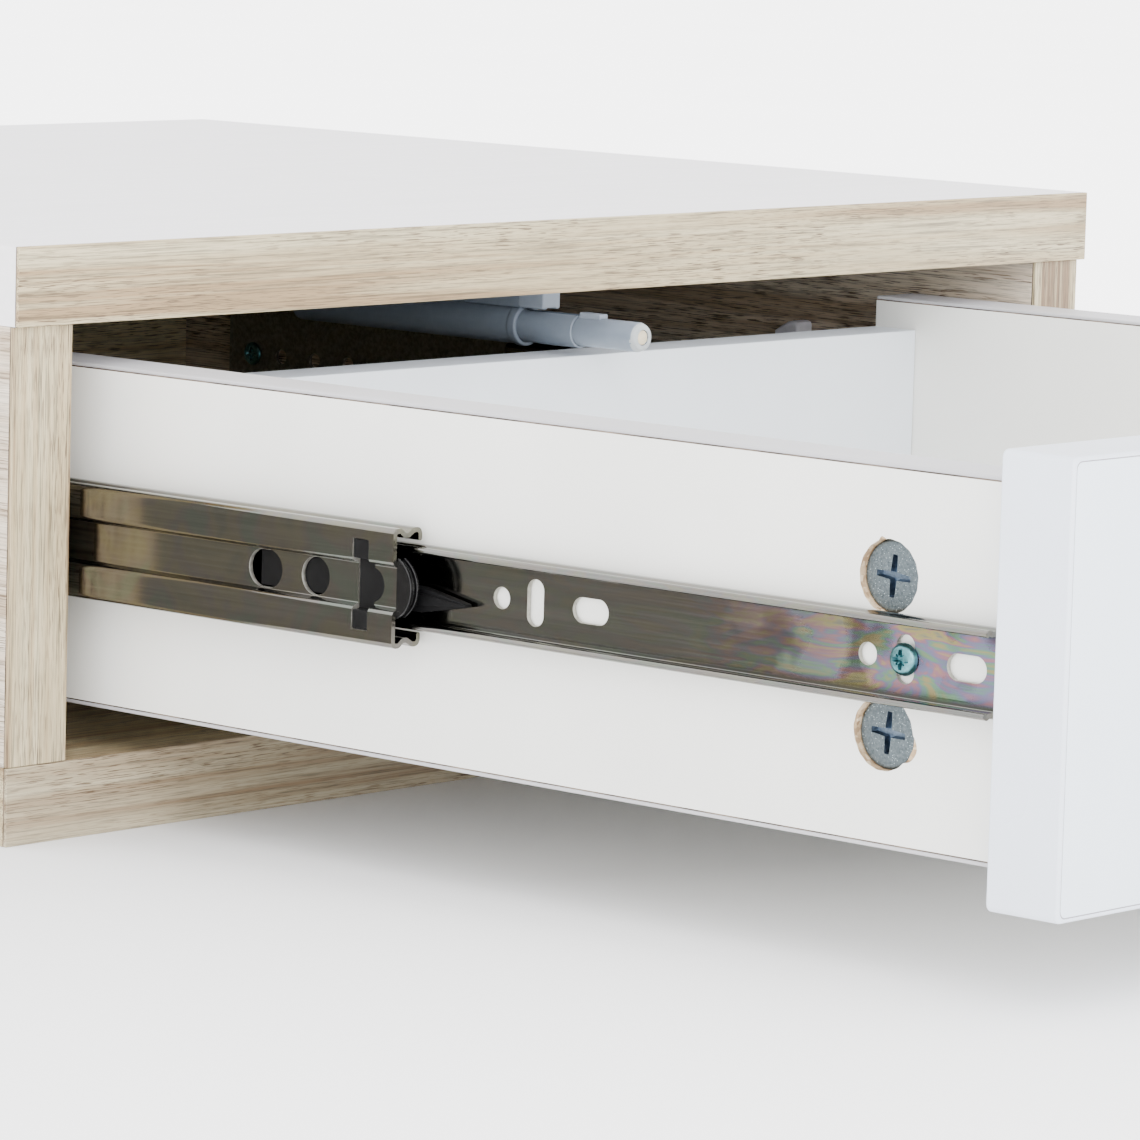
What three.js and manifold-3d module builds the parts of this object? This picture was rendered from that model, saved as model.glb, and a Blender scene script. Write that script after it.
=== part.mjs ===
// Under-desk drawer in its compartment: an inset drawer box on two three-member ball slides,
// held shut and pushed open by a touch latch under the desk top.
// The model stands open at the end of the slides' travel.
//
// Inside the compartment group: x runs right from the left divider's inner face, y runs back
// from the compartment's front plane, z runs up from the bottom panel's upper face.
// The exported part has its origin at the middle of the bottom panel's underside. Millimetres.

import * as THREE from "three";
import { mergeVertices } from "three/addons/utils/BufferGeometryUtils.js";
import Module from "manifold-3d";

const wasm = await Module();
wasm.setup();

// ---- driving dimensions ------------------------------------------------------------------

const BOARD = 18; // thickness of every compartment board and of the drawer front
const OPENING_WIDTH = 348.6;
const OPENING_HEIGHT = 99.3;
const DEPTH = 340;
const BACK_BOARD = 15;
const TOP_PROUD = 1.5; // the desk top stands out this far past the boards below it
const FIT = 0.15; // gap between boards that touch, and round anything seated in a bore

const TRAVEL = 282; // drawer travel, shut to fully open
const FRONT_SIDE_GAP = 2;
const FRONT_LOW = 4;
const FRONT_HIGH = 96;
const FRONT_CORNER = 1.5;
const FRONT_REAR_Y = BOARD - TRAVEL; // rear face of the drawer front when open

const SLIDE_WIDTH = 12.7; // space a slide fills between compartment and drawer side
const SLIDE_Z = 50; // height of the slides' centre line
const SLIDE_LENGTH = 282;
const OUTER_FRONT = 23;
const MID_FRONT = -99.5;
const INNER_FRONT = -258.6;
const STEEL = 1.1; // sheet thickness of the slide members

const SIDE_BOARD = 15;
const SIDE_LOW = 10.5;
const SIDE_HIGH = 89;
const BOX_REAR = 31.7;
const DRAWER_BACK_BOARD = 14;
const DRAWER_BACK_HIGH = 80.9; // lower than the sides, so that it passes under the latch
const BASE_SHEET = 3;
const BASE_LOW = 20.5;
const BASE_GROOVE_DEPTH = 6;

const CAM_RADIUS = 7.4;
const CAM_DEPTH = 11.5;
const CAM_RECESS = 1.5;
const CAM_SETBACK = 36; // cam centre behind the drawer front's rear face
const CAM_SPREAD = 16; // cam centres above and below the slide's centre line
const CAM_BOLT_RADIUS = 3;
const CAM_BOLT_THREAD = 2.4;
const CAM_BOLT_INTO_FRONT = 11;

const LATCH_X = 190;
const LATCH_Z = 86.9;
const PLUNGER_RADIUS = 3.7;
const PLUNGER_TIP = -1.9;
const SLEEVE_RADIUS = 4.25;
const SLEEVE_FRONT = 18.6;
const ADAPTER_FRONT = 37;
const ADAPTER_REAR = 117;

const ROUND_SIDES = 24; // facets round what shows
const BORE_SIDES = 12; // facets round what is hidden in the boards

// ---- materials ---------------------------------------------------------------------------

const finish = (color, roughness, metalness) =>
  new THREE.MeshStandardMaterial({ color, roughness, metalness });

const OAK = finish(0xc3b5a0, 0.55, 0);
const DESK_TOP = finish(0xe9e7e1, 0.5, 0);
const WHITE_SIDE = finish(0xe6e5e0, 0.5, 0);
const WHITE_FRONT = finish(0xdde0e8, 0.4, 0);
const BASE_WHITE = finish(0xe4e3de, 0.6, 0);
const ZINC = finish(0x9a9890, 0.3, 0.9);
const CAM_ZINC = finish(0x7f8c92, 0.45, 0.8);
const BALL_STEEL = finish(0xb8b8b8, 0.2, 1);
const BLACK_PLASTIC = finish(0x17181a, 0.5, 0);
const WHITE_PLASTIC = finish(0xdedee6, 0.45, 0);
const GREY_PLASTIC = finish(0x78848f, 0.45, 0);
const MAGNET_PAD = finish(0xd2c9b2, 0.5, 0);
const BEECH = finish(0xd8b98c, 0.7, 0);

// ---- solids ------------------------------------------------------------------------------

function solidOf(geometry) {
  const bare = new THREE.BufferGeometry();
  bare.setAttribute("position", geometry.getAttribute("position"));
  bare.setIndex(geometry.getIndex());
  const merged = mergeVertices(bare, 1e-4);
  return new wasm.Manifold(
    new wasm.Mesh({
      numProp: 3,
      vertProperties: new Float32Array(merged.getAttribute("position").array),
      triVerts: new Uint32Array(merged.getIndex().array),
    }),
  );
}

function geometryOf(solid) {
  const mesh = solid.getMesh();
  const geometry = new THREE.BufferGeometry();
  geometry.setAttribute("position", new THREE.BufferAttribute(mesh.vertProperties, 3));
  geometry.setIndex(new THREE.BufferAttribute(mesh.triVerts, 1));
  geometry.computeVertexNormals();
  return geometry;
}

function cut(base, tools) {
  return geometryOf(tools.reduce((solid, tool) => solid.subtract(solidOf(tool)), solidOf(base)));
}

function join(pieces) {
  return geometryOf(pieces.map(solidOf).reduce((whole, piece) => whole.add(piece)));
}

// A block from its [low, high] pairs along x, y and z.
function block([x0, x1], [y0, y1], [z0, z1]) {
  const geometry = new THREE.BoxGeometry(x1 - x0, y1 - y0, z1 - z0);
  return geometry.translate((x0 + x1) / 2, (y0 + y1) / 2, (z0 + z1) / 2);
}

// A round bar along one axis, from low to high on it, centred on the other two coordinates.
function rod(axis, radius, low, high, [a, b], sides = ROUND_SIDES) {
  const geometry = new THREE.CylinderGeometry(radius, radius, high - low, sides);
  const middle = (low + high) / 2;
  if (axis === "x") return geometry.rotateZ(Math.PI / 2).translate(middle, a, b);
  if (axis === "y") return geometry.translate(a, middle, b);
  return geometry.rotateX(Math.PI / 2).translate(a, b, middle);
}

// A flat outline drawn in x and z, drawn out along y from low to high.
function drawnAlongY(shape, low, high) {
  const settings = { depth: high - low, bevelEnabled: false, curveSegments: 4 };
  return new THREE.ExtrudeGeometry(shape, settings).rotateX(Math.PI / 2).translate(0, high, 0);
}

// A flat outline drawn in y and z, drawn out along x from low to high.
function drawnAlongX(shape, low, high) {
  const settings = { depth: high - low, bevelEnabled: false, curveSegments: 5 };
  return new THREE.ExtrudeGeometry(shape, settings)
    .rotateX(Math.PI / 2)
    .rotateZ(Math.PI / 2)
    .translate(low, 0, 0);
}

// A slot with round ends, through x, its length along y or z.
function slotAlongX(width, length, [y, z], [low, high], along) {
  const half = length / 2 - width / 2;
  const shape = new THREE.Shape();
  if (along === "y") {
    shape.absarc(half, 0, width / 2, -Math.PI / 2, Math.PI / 2);
    shape.absarc(-half, 0, width / 2, Math.PI / 2, (3 * Math.PI) / 2);
  } else {
    shape.absarc(0, half, width / 2, 0, Math.PI);
    shape.absarc(0, -half, width / 2, Math.PI, 2 * Math.PI);
  }
  return drawnAlongX(shape, low, high).translate(0, y, z);
}

// The outline of a bent sheet: its centre line, thickened to both sides with mitred corners.
function sheetOutline(line, thickness) {
  const points = line.map(([x, z]) => new THREE.Vector2(x, z));
  const side = (offset) =>
    points.map((point, i) => {
      const before = points[Math.max(i - 1, 0)];
      const after = points[Math.min(i + 1, points.length - 1)];
      const normalIn = point.clone().sub(before).normalize();
      const normalOut = after.clone().sub(point).normalize();
      if (i === 0) normalIn.copy(normalOut);
      if (i === points.length - 1) normalOut.copy(normalIn);
      const tangent = normalIn.clone().add(normalOut).normalize();
      const stretch = 1 / tangent.dot(normalOut);
      return new THREE.Vector2(
        point.x - tangent.y * offset * stretch,
        point.y + tangent.x * offset * stretch,
      );
    });
  return new THREE.Shape([...side(thickness / 2), ...side(-thickness / 2).reverse()]);
}

// A centre line drawn for the upper half, made whole by its mirror image below.
function mirroredDown(upperHalf) {
  return [...upperHalf, ...upperHalf.map(([x, z]) => [x, -z]).reverse()];
}

function add(group, name, geometry, material) {
  const mesh = new THREE.Mesh(geometry, material);
  mesh.name = name;
  group.add(mesh);
  return mesh;
}

// ---- compartment -------------------------------------------------------------------------

const DOWEL_RADIUS = 4;
const DOWEL_REACH = 12;
const DOWEL_SETBACK = [45, DEPTH - 60];
const SCREW_SHAFT = 1.7;
const ADAPTER_SCREWS = [
  [LATCH_X - 9.5, 54],
  [LATCH_X + 9.5, 102],
];
const ADAPTER_SCREW_LENGTH = 12;

// Middle of each upright board's thickness, left and right.
const UPRIGHTS = { left: -BOARD / 2, right: OPENING_WIDTH + BOARD / 2 };

// The guide's outline from the side, as y and z, and the peg that holds it.
const GUIDE_OUTLINE = [
  [77.2, 68.2],
  [86, 68.2],
  [86, 74.4],
  [81.6, 77],
  [78.6, 77.4],
  [77.2, 76.4],
];
const GUIDE_REACH = 6;
const PEG_RADIUS = 2.4;
const PEG_PLACE = [81.5, 72];
const PEG_BORE = [OPENING_WIDTH - 1, OPENING_WIDTH + 9];

function dowelBores(low, high) {
  return Object.values(UPRIGHTS).flatMap((x) =>
    DOWEL_SETBACK.map((y) => rod("z", DOWEL_RADIUS + FIT, low, high, [x, y], BORE_SIDES)),
  );
}

function addDowels(group, side) {
  const joints = { lower: 0, upper: OPENING_HEIGHT };
  DOWEL_SETBACK.forEach((y, i) => {
    const where = i === 0 ? "front" : "rear";
    for (const [level, z] of Object.entries(joints)) {
      const place = [UPRIGHTS[side], y];
      const dowel = rod("z", DOWEL_RADIUS, z - DOWEL_REACH, z + DOWEL_REACH, place, BORE_SIDES);
      add(group, `${side}_${level}_${where}_dowel`, dowel, BEECH);
    }
  });
}

// One of the two boards that stand between the top and bottom panels.
function buildUpright(side) {
  const middle = UPRIGHTS[side];
  const innerFace = side === "left" ? 0 : OPENING_WIDTH;
  const inward = side === "left" ? 1 : -1;
  const upright = block(
    [middle - BOARD / 2, middle + BOARD / 2],
    [0, DEPTH],
    [0, OPENING_HEIGHT - FIT / 2],
  );
  const bores = [
    ...dowelBores(-1, DOWEL_REACH + FIT),
    ...dowelBores(OPENING_HEIGHT - DOWEL_REACH - FIT, OPENING_HEIGHT + 1),
  ];
  const pilots = OUTER_SCREW_Y.map((y) => {
    const ends = [innerFace + inward, innerFace - inward * (OUTER_SCREW_LENGTH + FIT)];
    const span = [Math.min(...ends), Math.max(...ends)];
    return rod("x", SCREW_SHAFT + FIT, ...span, [y, SLIDE_Z], BORE_SIDES);
  });
  const peg = rod("x", PEG_RADIUS + FIT, ...PEG_BORE, PEG_PLACE, BORE_SIDES);
  return cut(upright, side === "left" ? [...bores, ...pilots] : [...bores, ...pilots, peg]);
}

// The white guide on the right panel, above the slide: a small wedge on a peg.
function buildSideGuide() {
  const outline = new THREE.Shape(GUIDE_OUTLINE.map(([y, z]) => new THREE.Vector2(y, z)));
  const wedge = drawnAlongX(outline, OPENING_WIDTH - GUIDE_REACH, OPENING_WIDTH - FIT);
  const peg = rod("x", PEG_RADIUS, OPENING_WIDTH - 1, PEG_BORE[1] - FIT, PEG_PLACE, BORE_SIDES);
  return join([wedge, peg]);
}

function buildCompartment(group) {
  const acrossBoards = [-BOARD, OPENING_WIDTH + BOARD];
  const bottom = block(acrossBoards, [0, DEPTH], [-BOARD, -FIT / 2]);
  add(group, "bottom_panel", cut(bottom, dowelBores(-DOWEL_REACH - FIT, 1)), OAK);

  const top = block(
    [-BOARD, OPENING_WIDTH + BOARD + TOP_PROUD],
    [-TOP_PROUD, DEPTH],
    [OPENING_HEIGHT, OPENING_HEIGHT + BOARD],
  );
  const pilotTop = OPENING_HEIGHT + ADAPTER_SCREW_LENGTH;
  const latchPilots = ADAPTER_SCREWS.map((place) =>
    rod("z", SCREW_SHAFT + FIT, OPENING_HEIGHT - 1, pilotTop, place, BORE_SIDES),
  );
  const topBores = dowelBores(OPENING_HEIGHT - 1, OPENING_HEIGHT + DOWEL_REACH + FIT);
  add(group, "top_panel", cut(top, [...topBores, ...latchPilots]), DESK_TOP);

  add(group, "left_divider", buildUpright("left"), OAK);
  add(group, "right_side_panel", buildUpright("right"), OAK);
  add(group, "right_side_guide", buildSideGuide(), WHITE_PLASTIC);
  addDowels(group, "left");
  addDowels(group, "right");
  add(
    group,
    "back_panel",
    block([FIT, OPENING_WIDTH - FIT], [DEPTH - BACK_BOARD, DEPTH], [FIT, OPENING_HEIGHT - FIT]),
    OAK,
  );
}

// ---- ball slides -------------------------------------------------------------------------

// In a slide's own frame x runs from the compartment board towards the drawer, z from the
// slide's centre line. Each list below is the upper half of a member's centre line.
const OUTER_HALF = [
  [10.6, 15.6],
  [10.9, 16.4],
  [10.2, 16.95],
  [7.8, 16.6],
  [4.6, 16.6],
  [2.2, 16.95],
  [1.0, 16.7],
  [0.65, 16.1],
];
const MID_HALF = [
  [10.3, 11.4],
  [10.0, 12.15],
  [9.2, 12.45],
  [8.4, 12.45],
  [6.8, 11.4],
  [5.6, 11.4],
  [4.3, 12.45],
  [3.1, 12.45],
  [2.6, 11.9],
  [2.6, 5.9],
  [2.9, 5.4],
  [4.5, 4.9],
  [4.8, 4.4],
];
const INNER_HALF = [
  [6.6, 8.1],
  [7.2, 8.6],
  [8.0, 8.15],
  [9.2, 8.15],
  [10.2, 8.6],
  [11.5, 8.6],
  [12.0, 8.1],
];
const OUTER_CAGE_HALF = [
  [7.9, 14.1],
  [1.95, 14.1],
  [1.6, 13.7],
  [1.6, 4.9],
  [2.6, 3.6],
  [3.5, 3.2],
];
const INNER_CAGE_HALF = [
  [9.8, 10.05],
  [6.1, 10.05],
  [5.85, 9.7],
  [5.85, 4.4],
];
const CAGE_SHEET = 0.5;

const OUTER_TRACK = { x: 6.2, z: 14.1, ball: 1.85 };
const INNER_TRACK = { x: 8.6, z: 10.05, ball: 1.15 };
const BALLS_IN_A_ROW = 4;
const OUTER_CAGE_SPAN = [30, 150];
const INNER_CAGE_SPAN = [-52, 17];

const OUTER_REAR = OUTER_FRONT + SLIDE_LENGTH;
const OUTER_SCREW_Y = [OUTER_FRONT + 14, OUTER_REAR - 10];
const OUTER_HOLE_Y = [28, 42, 232, 246, 260].map((distance) => OUTER_FRONT + distance);
const OUTER_SCREW_LENGTH = 14;
const INNER_SCREW_LENGTH = 12;
const SCREW_HEAD_RADIUS = 3.4;
const PAN_HEAD = 1.6; // height of a pan head
const THIN_HEAD = 0.9; // height of the outer member's screw heads, which the end clip passes over

// Hole groups of the inner member: distances of the level slot, upright slot and round hole
// from the member's front end, and for the rear group from its rear end.
const HOLE_GROUP = { levelSlot: 8.8, uprightSlot: 24.6, round: 34.4 };
const SECOND_GROUP_SHIFT = 101.3;

const MID_HOLE = { round: 25.4, level: 40.9 }; // distances behind the middle member's front end
const CLIP_BAR = { width: 4.8, halfHeight: 9.9, front: 7.4 }; // front: distance behind the end
const CLIP_BUMP = { radius: 3.8, setback: 0.9 }; // setback: centre behind the bar's front edge
const CLIP_TAB_LOW = 5.6; // where the tabs at the bar's ends begin, above and below the centre
const CLIP_CARRIER_REAR = -56;
const BUFFER = { radius: 7.2, reach: 4.2 };
const LEVER = {
  pivotY: MID_FRONT + 18,
  pivotZ: -2.5,
  tipY: MID_FRONT - 15.5,
  taper: 13, // length of the tip's taper
  rootHalf: 2.9,
  tipHalf: 0.6,
};

function membersFrom(half, thickness, low, high) {
  return drawnAlongY(sheetOutline(mirroredDown(half), thickness), low, high);
}

function pierce([y, z], radius) {
  return rod("x", radius, -1, SLIDE_WIDTH + 1, [y, z], 16);
}

function buildOuterRail() {
  const rail = membersFrom(OUTER_HALF, STEEL, OUTER_FRONT, OUTER_REAR);
  const holes = [
    ...OUTER_SCREW_Y.map((y) => pierce([y, 0], 2.2)),
    ...OUTER_HOLE_Y.map((y) => pierce([y, 0], 2.2)),
    slotAlongX(4.4, 11, [OUTER_FRONT + 120, 0], [-1, 3], "y"),
  ];
  return cut(rail, holes);
}

// The window in the middle member that the black end clip shows through.
function clipOutline(grow) {
  const { width, halfHeight } = CLIP_BAR;
  const shape = new THREE.Shape();
  const front = -grow;
  const rear = width + grow;
  const radius = CLIP_BUMP.radius + grow;
  const angle = Math.acos((CLIP_BUMP.setback + grow) / radius);
  const lift = radius * Math.sin(angle);
  shape.moveTo(front, -lift);
  shape.absarc(CLIP_BUMP.setback, 0, radius, Math.PI + angle, Math.PI - angle, true);
  shape.lineTo(front, lift);
  shape.lineTo(front, halfHeight + grow);
  shape.lineTo(rear, halfHeight + grow);
  shape.lineTo(rear, -halfHeight - grow);
  shape.lineTo(front, -halfHeight - grow);
  return shape;
}

const CLIP_Y = MID_FRONT + CLIP_BAR.front;

function buildMidRail() {
  const rail = membersFrom(MID_HALF, STEEL, MID_FRONT, MID_FRONT + SLIDE_LENGTH);
  const rear = MID_FRONT + SLIDE_LENGTH;
  return cut(rail, [
    drawnAlongX(clipOutline(0), 1, 5.4).translate(0, CLIP_Y, 0),
    rod("x", 4.2, 1, 8, [MID_FRONT + MID_HOLE.round, 0]),
    slotAlongX(8.3, 10.2, [MID_FRONT + MID_HOLE.level, 0], [1, 8], "y"),
    slotAlongX(8.3, 10.2, [rear - 60, 0], [1, 8], "y"),
    slotAlongX(4.4, 11, [rear - 24, 0], [1, 8], "y"),
  ]);
}

function buildInnerRail() {
  const rail = membersFrom(INNER_HALF, STEEL, INNER_FRONT, INNER_FRONT + SLIDE_LENGTH);
  const front = INNER_FRONT;
  const rear = INNER_FRONT + SLIDE_LENGTH;
  const through = [10, SLIDE_WIDTH + 1];
  const group = (place) => [
    slotAlongX(5.4, 10, [place(HOLE_GROUP.levelSlot), 0], through, "y"),
    slotAlongX(4.6, 10, [place(HOLE_GROUP.uprightSlot), 0], through, "z"),
    rod("x", 2.3, ...through, [place(HOLE_GROUP.round), 0], 16),
  ];
  return cut(rail, [
    ...group((distance) => front + distance),
    ...group((distance) => front + SECOND_GROUP_SHIFT + distance),
    ...group((distance) => rear - distance),
  ]);
}

// A ball cage: a thin bent strip with a row of balls held above and below.
function buildCage(half, track, [low, high], window) {
  const strip = membersFrom(half, CAGE_SHEET, low, high);
  const opened = cut(strip, [window]);
  const step = (high - low) / BALLS_IN_A_ROW;
  const balls = [];
  for (let i = 0; i < BALLS_IN_A_ROW; i += 1) {
    for (const side of [1, -1]) {
      const ball = new THREE.SphereGeometry(track.ball, 6, 4);
      balls.push(ball.translate(track.x, low + step * (i + 0.5), side * track.z));
    }
  }
  return join([opened, ...balls]);
}

// The black end clip: the part seen through the middle member's window, and the rounded
// buffer that stands out past the member's front end.
function buildEndClip() {
  const seen = drawnAlongX(clipOutline(-FIT), 4.3, 5.7).translate(0, CLIP_Y, 0);
  const along = [CLIP_Y + FIT, CLIP_Y + CLIP_BAR.width - FIT];
  const tabs = [1, -1].map((side) => {
    const ends = [side * CLIP_TAB_LOW, side * (CLIP_BAR.halfHeight - FIT)];
    return block([2.35, 5.7], along, ends.sort((a, b) => a - b));
  });
  const carrier = block([5.5, 6.1], [MID_FRONT - 1, CLIP_CARRIER_REAR], [-3.9, 3.9]);
  const buffer = new THREE.Shape();
  buffer.absarc(BUFFER.radius - BUFFER.reach, 0, BUFFER.radius, Math.PI - 1.2, Math.PI + 1.2);
  const disc = drawnAlongX(buffer, 3.4, 6.1).translate(0, MID_FRONT, 0);
  const ahead = block([2, 8], [MID_FRONT - 10, MID_FRONT - FIT], [-10, 10]);
  const nose = geometryOf(solidOf(disc).intersect(solidOf(ahead)));
  return join([seen, ...tabs, carrier, nose]);
}

// The release lever: an eye on the inner member with a long tapering finger.
function buildReleaseLever() {
  const { pivotY, pivotZ, tipY, taper, rootHalf, tipHalf } = LEVER;
  const finger = new THREE.Shape();
  finger.moveTo(pivotY, rootHalf);
  finger.lineTo(tipY + taper, rootHalf);
  finger.lineTo(tipY, tipHalf);
  finger.lineTo(tipY, -tipHalf);
  finger.lineTo(tipY + taper, -rootHalf);
  finger.lineTo(pivotY, -rootHalf);
  const arm = drawnAlongX(finger, 8.6, 10.6);
  const eye = rod("x", 4.1, 7.2, 11.2, [pivotY, 0]);
  return join([arm, eye]).translate(0, 0, pivotZ);
}

// A screw pointing along -x, its head's seat at x = 0.
function headedScrew(length, height) {
  const radius = SCREW_HEAD_RADIUS;
  const profile = [
    new THREE.Vector2(0, height),
    new THREE.Vector2(radius * 0.62, height * 0.94),
    new THREE.Vector2(radius * 0.92, height * 0.62),
    new THREE.Vector2(radius, 0),
    new THREE.Vector2(SCREW_SHAFT, 0),
    new THREE.Vector2(SCREW_SHAFT, 1.5 - length),
    new THREE.Vector2(0, -length),
  ].reverse();
  const body = new THREE.LatheGeometry(profile, BORE_SIDES).rotateZ(-Math.PI / 2);
  const slots = [
    block([height * 0.35, height + 1], [-1.9, 1.9], [-0.45, 0.45]),
    block([height * 0.35, height + 1], [-0.45, 0.45], [-1.9, 1.9]),
  ];
  return cut(body, slots);
}

const INNER_SCREW_Y = [
  INNER_FRONT + HOLE_GROUP.uprightSlot,
  INNER_FRONT + SLIDE_LENGTH - HOLE_GROUP.uprightSlot,
];
const OUTER_HEAD_SEAT = 1.3;
const INNER_HEAD_SEAT = 11.35;

function buildSlide(group, side) {
  add(group, `${side}_outer_rail`, buildOuterRail(), ZINC);
  add(group, `${side}_mid_rail`, buildMidRail(), ZINC);
  add(group, `${side}_inner_rail`, buildInnerRail(), ZINC);
  const outerWindow = block([2.9, 5], [OUTER_CAGE_SPAN[0] + 10, OUTER_CAGE_SPAN[1] - 10], [-4, 4]);
  const outerCage = buildCage(OUTER_CAGE_HALF, OUTER_TRACK, OUTER_CAGE_SPAN, outerWindow);
  add(group, `${side}_outer_ball_cage`, outerCage, BALL_STEEL);
  const innerWindow = block([5, 7], [INNER_CAGE_SPAN[0] + 10, INNER_CAGE_SPAN[1] - 10], [-6, 6]);
  const innerCage = buildCage(INNER_CAGE_HALF, INNER_TRACK, INNER_CAGE_SPAN, innerWindow);
  add(group, `${side}_inner_ball_cage`, innerCage, BALL_STEEL);
  add(group, `${side}_end_clip`, buildEndClip(), BLACK_PLASTIC);
  add(group, `${side}_release_lever`, buildReleaseLever(), BLACK_PLASTIC);
  ["front", "rear"].forEach((end, i) => {
    const outerScrew = headedScrew(OUTER_SCREW_LENGTH, THIN_HEAD);
    const outer = add(group, `${side}_outer_rail_${end}_screw`, outerScrew, ZINC);
    outer.position.set(OUTER_HEAD_SEAT, OUTER_SCREW_Y[i], 0);
    const innerScrew = headedScrew(INNER_SCREW_LENGTH, PAN_HEAD);
    const inner = add(group, `${side}_inner_rail_${end}_screw`, innerScrew, ZINC);
    inner.rotation.z = Math.PI;
    inner.position.set(INNER_HEAD_SEAT, INNER_SCREW_Y[i], 0);
  });
}

// ---- drawer box --------------------------------------------------------------------------

const BOLT_Z = [SLIDE_Z + CAM_SPREAD, SLIDE_Z - CAM_SPREAD];
const CAM_Y = FRONT_REAR_Y + CAM_SETBACK;
const SIDE_FACE = SLIDE_WIDTH;
const BOLT_X = SIDE_FACE + SIDE_BOARD / 2;
const BACK_SCREW_Z = [28, 72];
const BACK_SCREW = { head: 4.8, headDepth: 2.2, shaft: 2.4, length: 38 };
const BACK_MID_Y = BOX_REAR - DRAWER_BACK_BOARD / 2;

const mirroredRight = (geometry) => {
  const mirror = new THREE.Matrix4().makeScale(-1, 1, 1).setPosition(OPENING_WIDTH, 0, 0);
  const solid = solidOf(geometry).transform(mirror.elements);
  return geometryOf(solid);
};

function buildDrawerSide() {
  const side = block(
    [SIDE_FACE, SIDE_FACE + SIDE_BOARD],
    [FRONT_REAR_Y + FIT, BOX_REAR],
    [SIDE_LOW, SIDE_HIGH],
  );
  const groove = block(
    [SIDE_FACE + SIDE_BOARD - BASE_GROOVE_DEPTH, SIDE_FACE + SIDE_BOARD + 1],
    [FRONT_REAR_Y - 1, BOX_REAR + 1],
    [BASE_LOW - FIT, BASE_LOW + BASE_SHEET + FIT],
  );
  const outside = SIDE_FACE - 1;
  const camFloor = SIDE_FACE + CAM_RECESS + CAM_DEPTH + FIT;
  const cams = BOLT_Z.flatMap((z) => [
    rod("x", CAM_RADIUS + FIT, outside, camFloor, [CAM_Y, z]),
    rod("y", CAM_BOLT_RADIUS + 1, FRONT_REAR_Y - 1, CAM_Y, [BOLT_X, z], BORE_SIDES),
  ]);
  const screwEnd = INNER_HEAD_SEAT + INNER_SCREW_LENGTH + FIT;
  const pilots = INNER_SCREW_Y.map((y) =>
    rod("x", SCREW_SHAFT + FIT, outside, screwEnd, [y, SLIDE_Z], BORE_SIDES),
  );
  const { head, headDepth, shaft } = BACK_SCREW;
  const backScrews = BACK_SCREW_Z.map((z) => [BACK_MID_Y, z]).flatMap((place) => [
    rod("x", shaft + FIT, outside, SIDE_FACE + SIDE_BOARD + 1, place, BORE_SIDES),
    rod("x", head + FIT, outside, SIDE_FACE + headDepth + FIT, place, BORE_SIDES),
  ]);
  return cut(side, [groove, ...cams, ...pilots, ...backScrews]);
}

// A cam lock: a disc with a cross recess in its face and a throat for the bolt's head.
function buildCam(z) {
  const face = SIDE_FACE + CAM_RECESS;
  const disc = rod("x", CAM_RADIUS, face, face + CAM_DEPTH, [CAM_Y, z]);
  const cross = [
    block([face - 1, face + 2.5], [CAM_Y - 3.6, CAM_Y + 3.6], [z - 0.7, z + 0.7]),
    block([face - 1, face + 2.5], [CAM_Y - 0.7, CAM_Y + 0.7], [z - 3.6, z + 3.6]),
  ];
  const throat = rod("y", CAM_BOLT_RADIUS + 0.6, CAM_Y - CAM_RADIUS - 1, CAM_Y + 1.5, [BOLT_X, z], 16);
  return cut(disc, [...cross, throat]);
}

// A cam bolt: threaded into the drawer front, its waisted head held in the cam.
function buildCamBolt(z) {
  const shoulder = CAM_SETBACK - 0.5;
  const end = shoulder + CAM_BOLT_INTO_FRONT;
  const neck = 1.6;
  const profile = [
    [0, 0],
    [CAM_BOLT_RADIUS, 0],
    [CAM_BOLT_RADIUS, 3],
    [neck, 4],
    [neck, 8],
    [CAM_BOLT_RADIUS, 9],
    [CAM_BOLT_RADIUS, shoulder],
    [CAM_BOLT_THREAD, shoulder],
    [CAM_BOLT_THREAD, end],
    [0, end],
  ].map(([radius, along]) => new THREE.Vector2(radius, along));
  const bolt = new THREE.LatheGeometry(profile, 10);
  return bolt.rotateX(Math.PI).translate(BOLT_X, CAM_Y, z);
}

function buildBackScrew(z) {
  const { head, headDepth, shaft, length } = BACK_SCREW;
  const profile = [
    [0, -length],
    [shaft, 2.5 - length],
    [shaft, -headDepth],
    [head, -0.3],
    [head, 0],
    [0, 0],
  ].map(([radius, along]) => new THREE.Vector2(radius, along));
  const screw = new THREE.LatheGeometry(profile, BORE_SIDES).rotateZ(Math.PI / 2);
  const socket = rod("x", 1.8, -1.4, 1, [0, 0], 6);
  return cut(screw, [socket]).translate(SIDE_FACE + 0.3, BACK_MID_Y, z);
}

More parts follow.
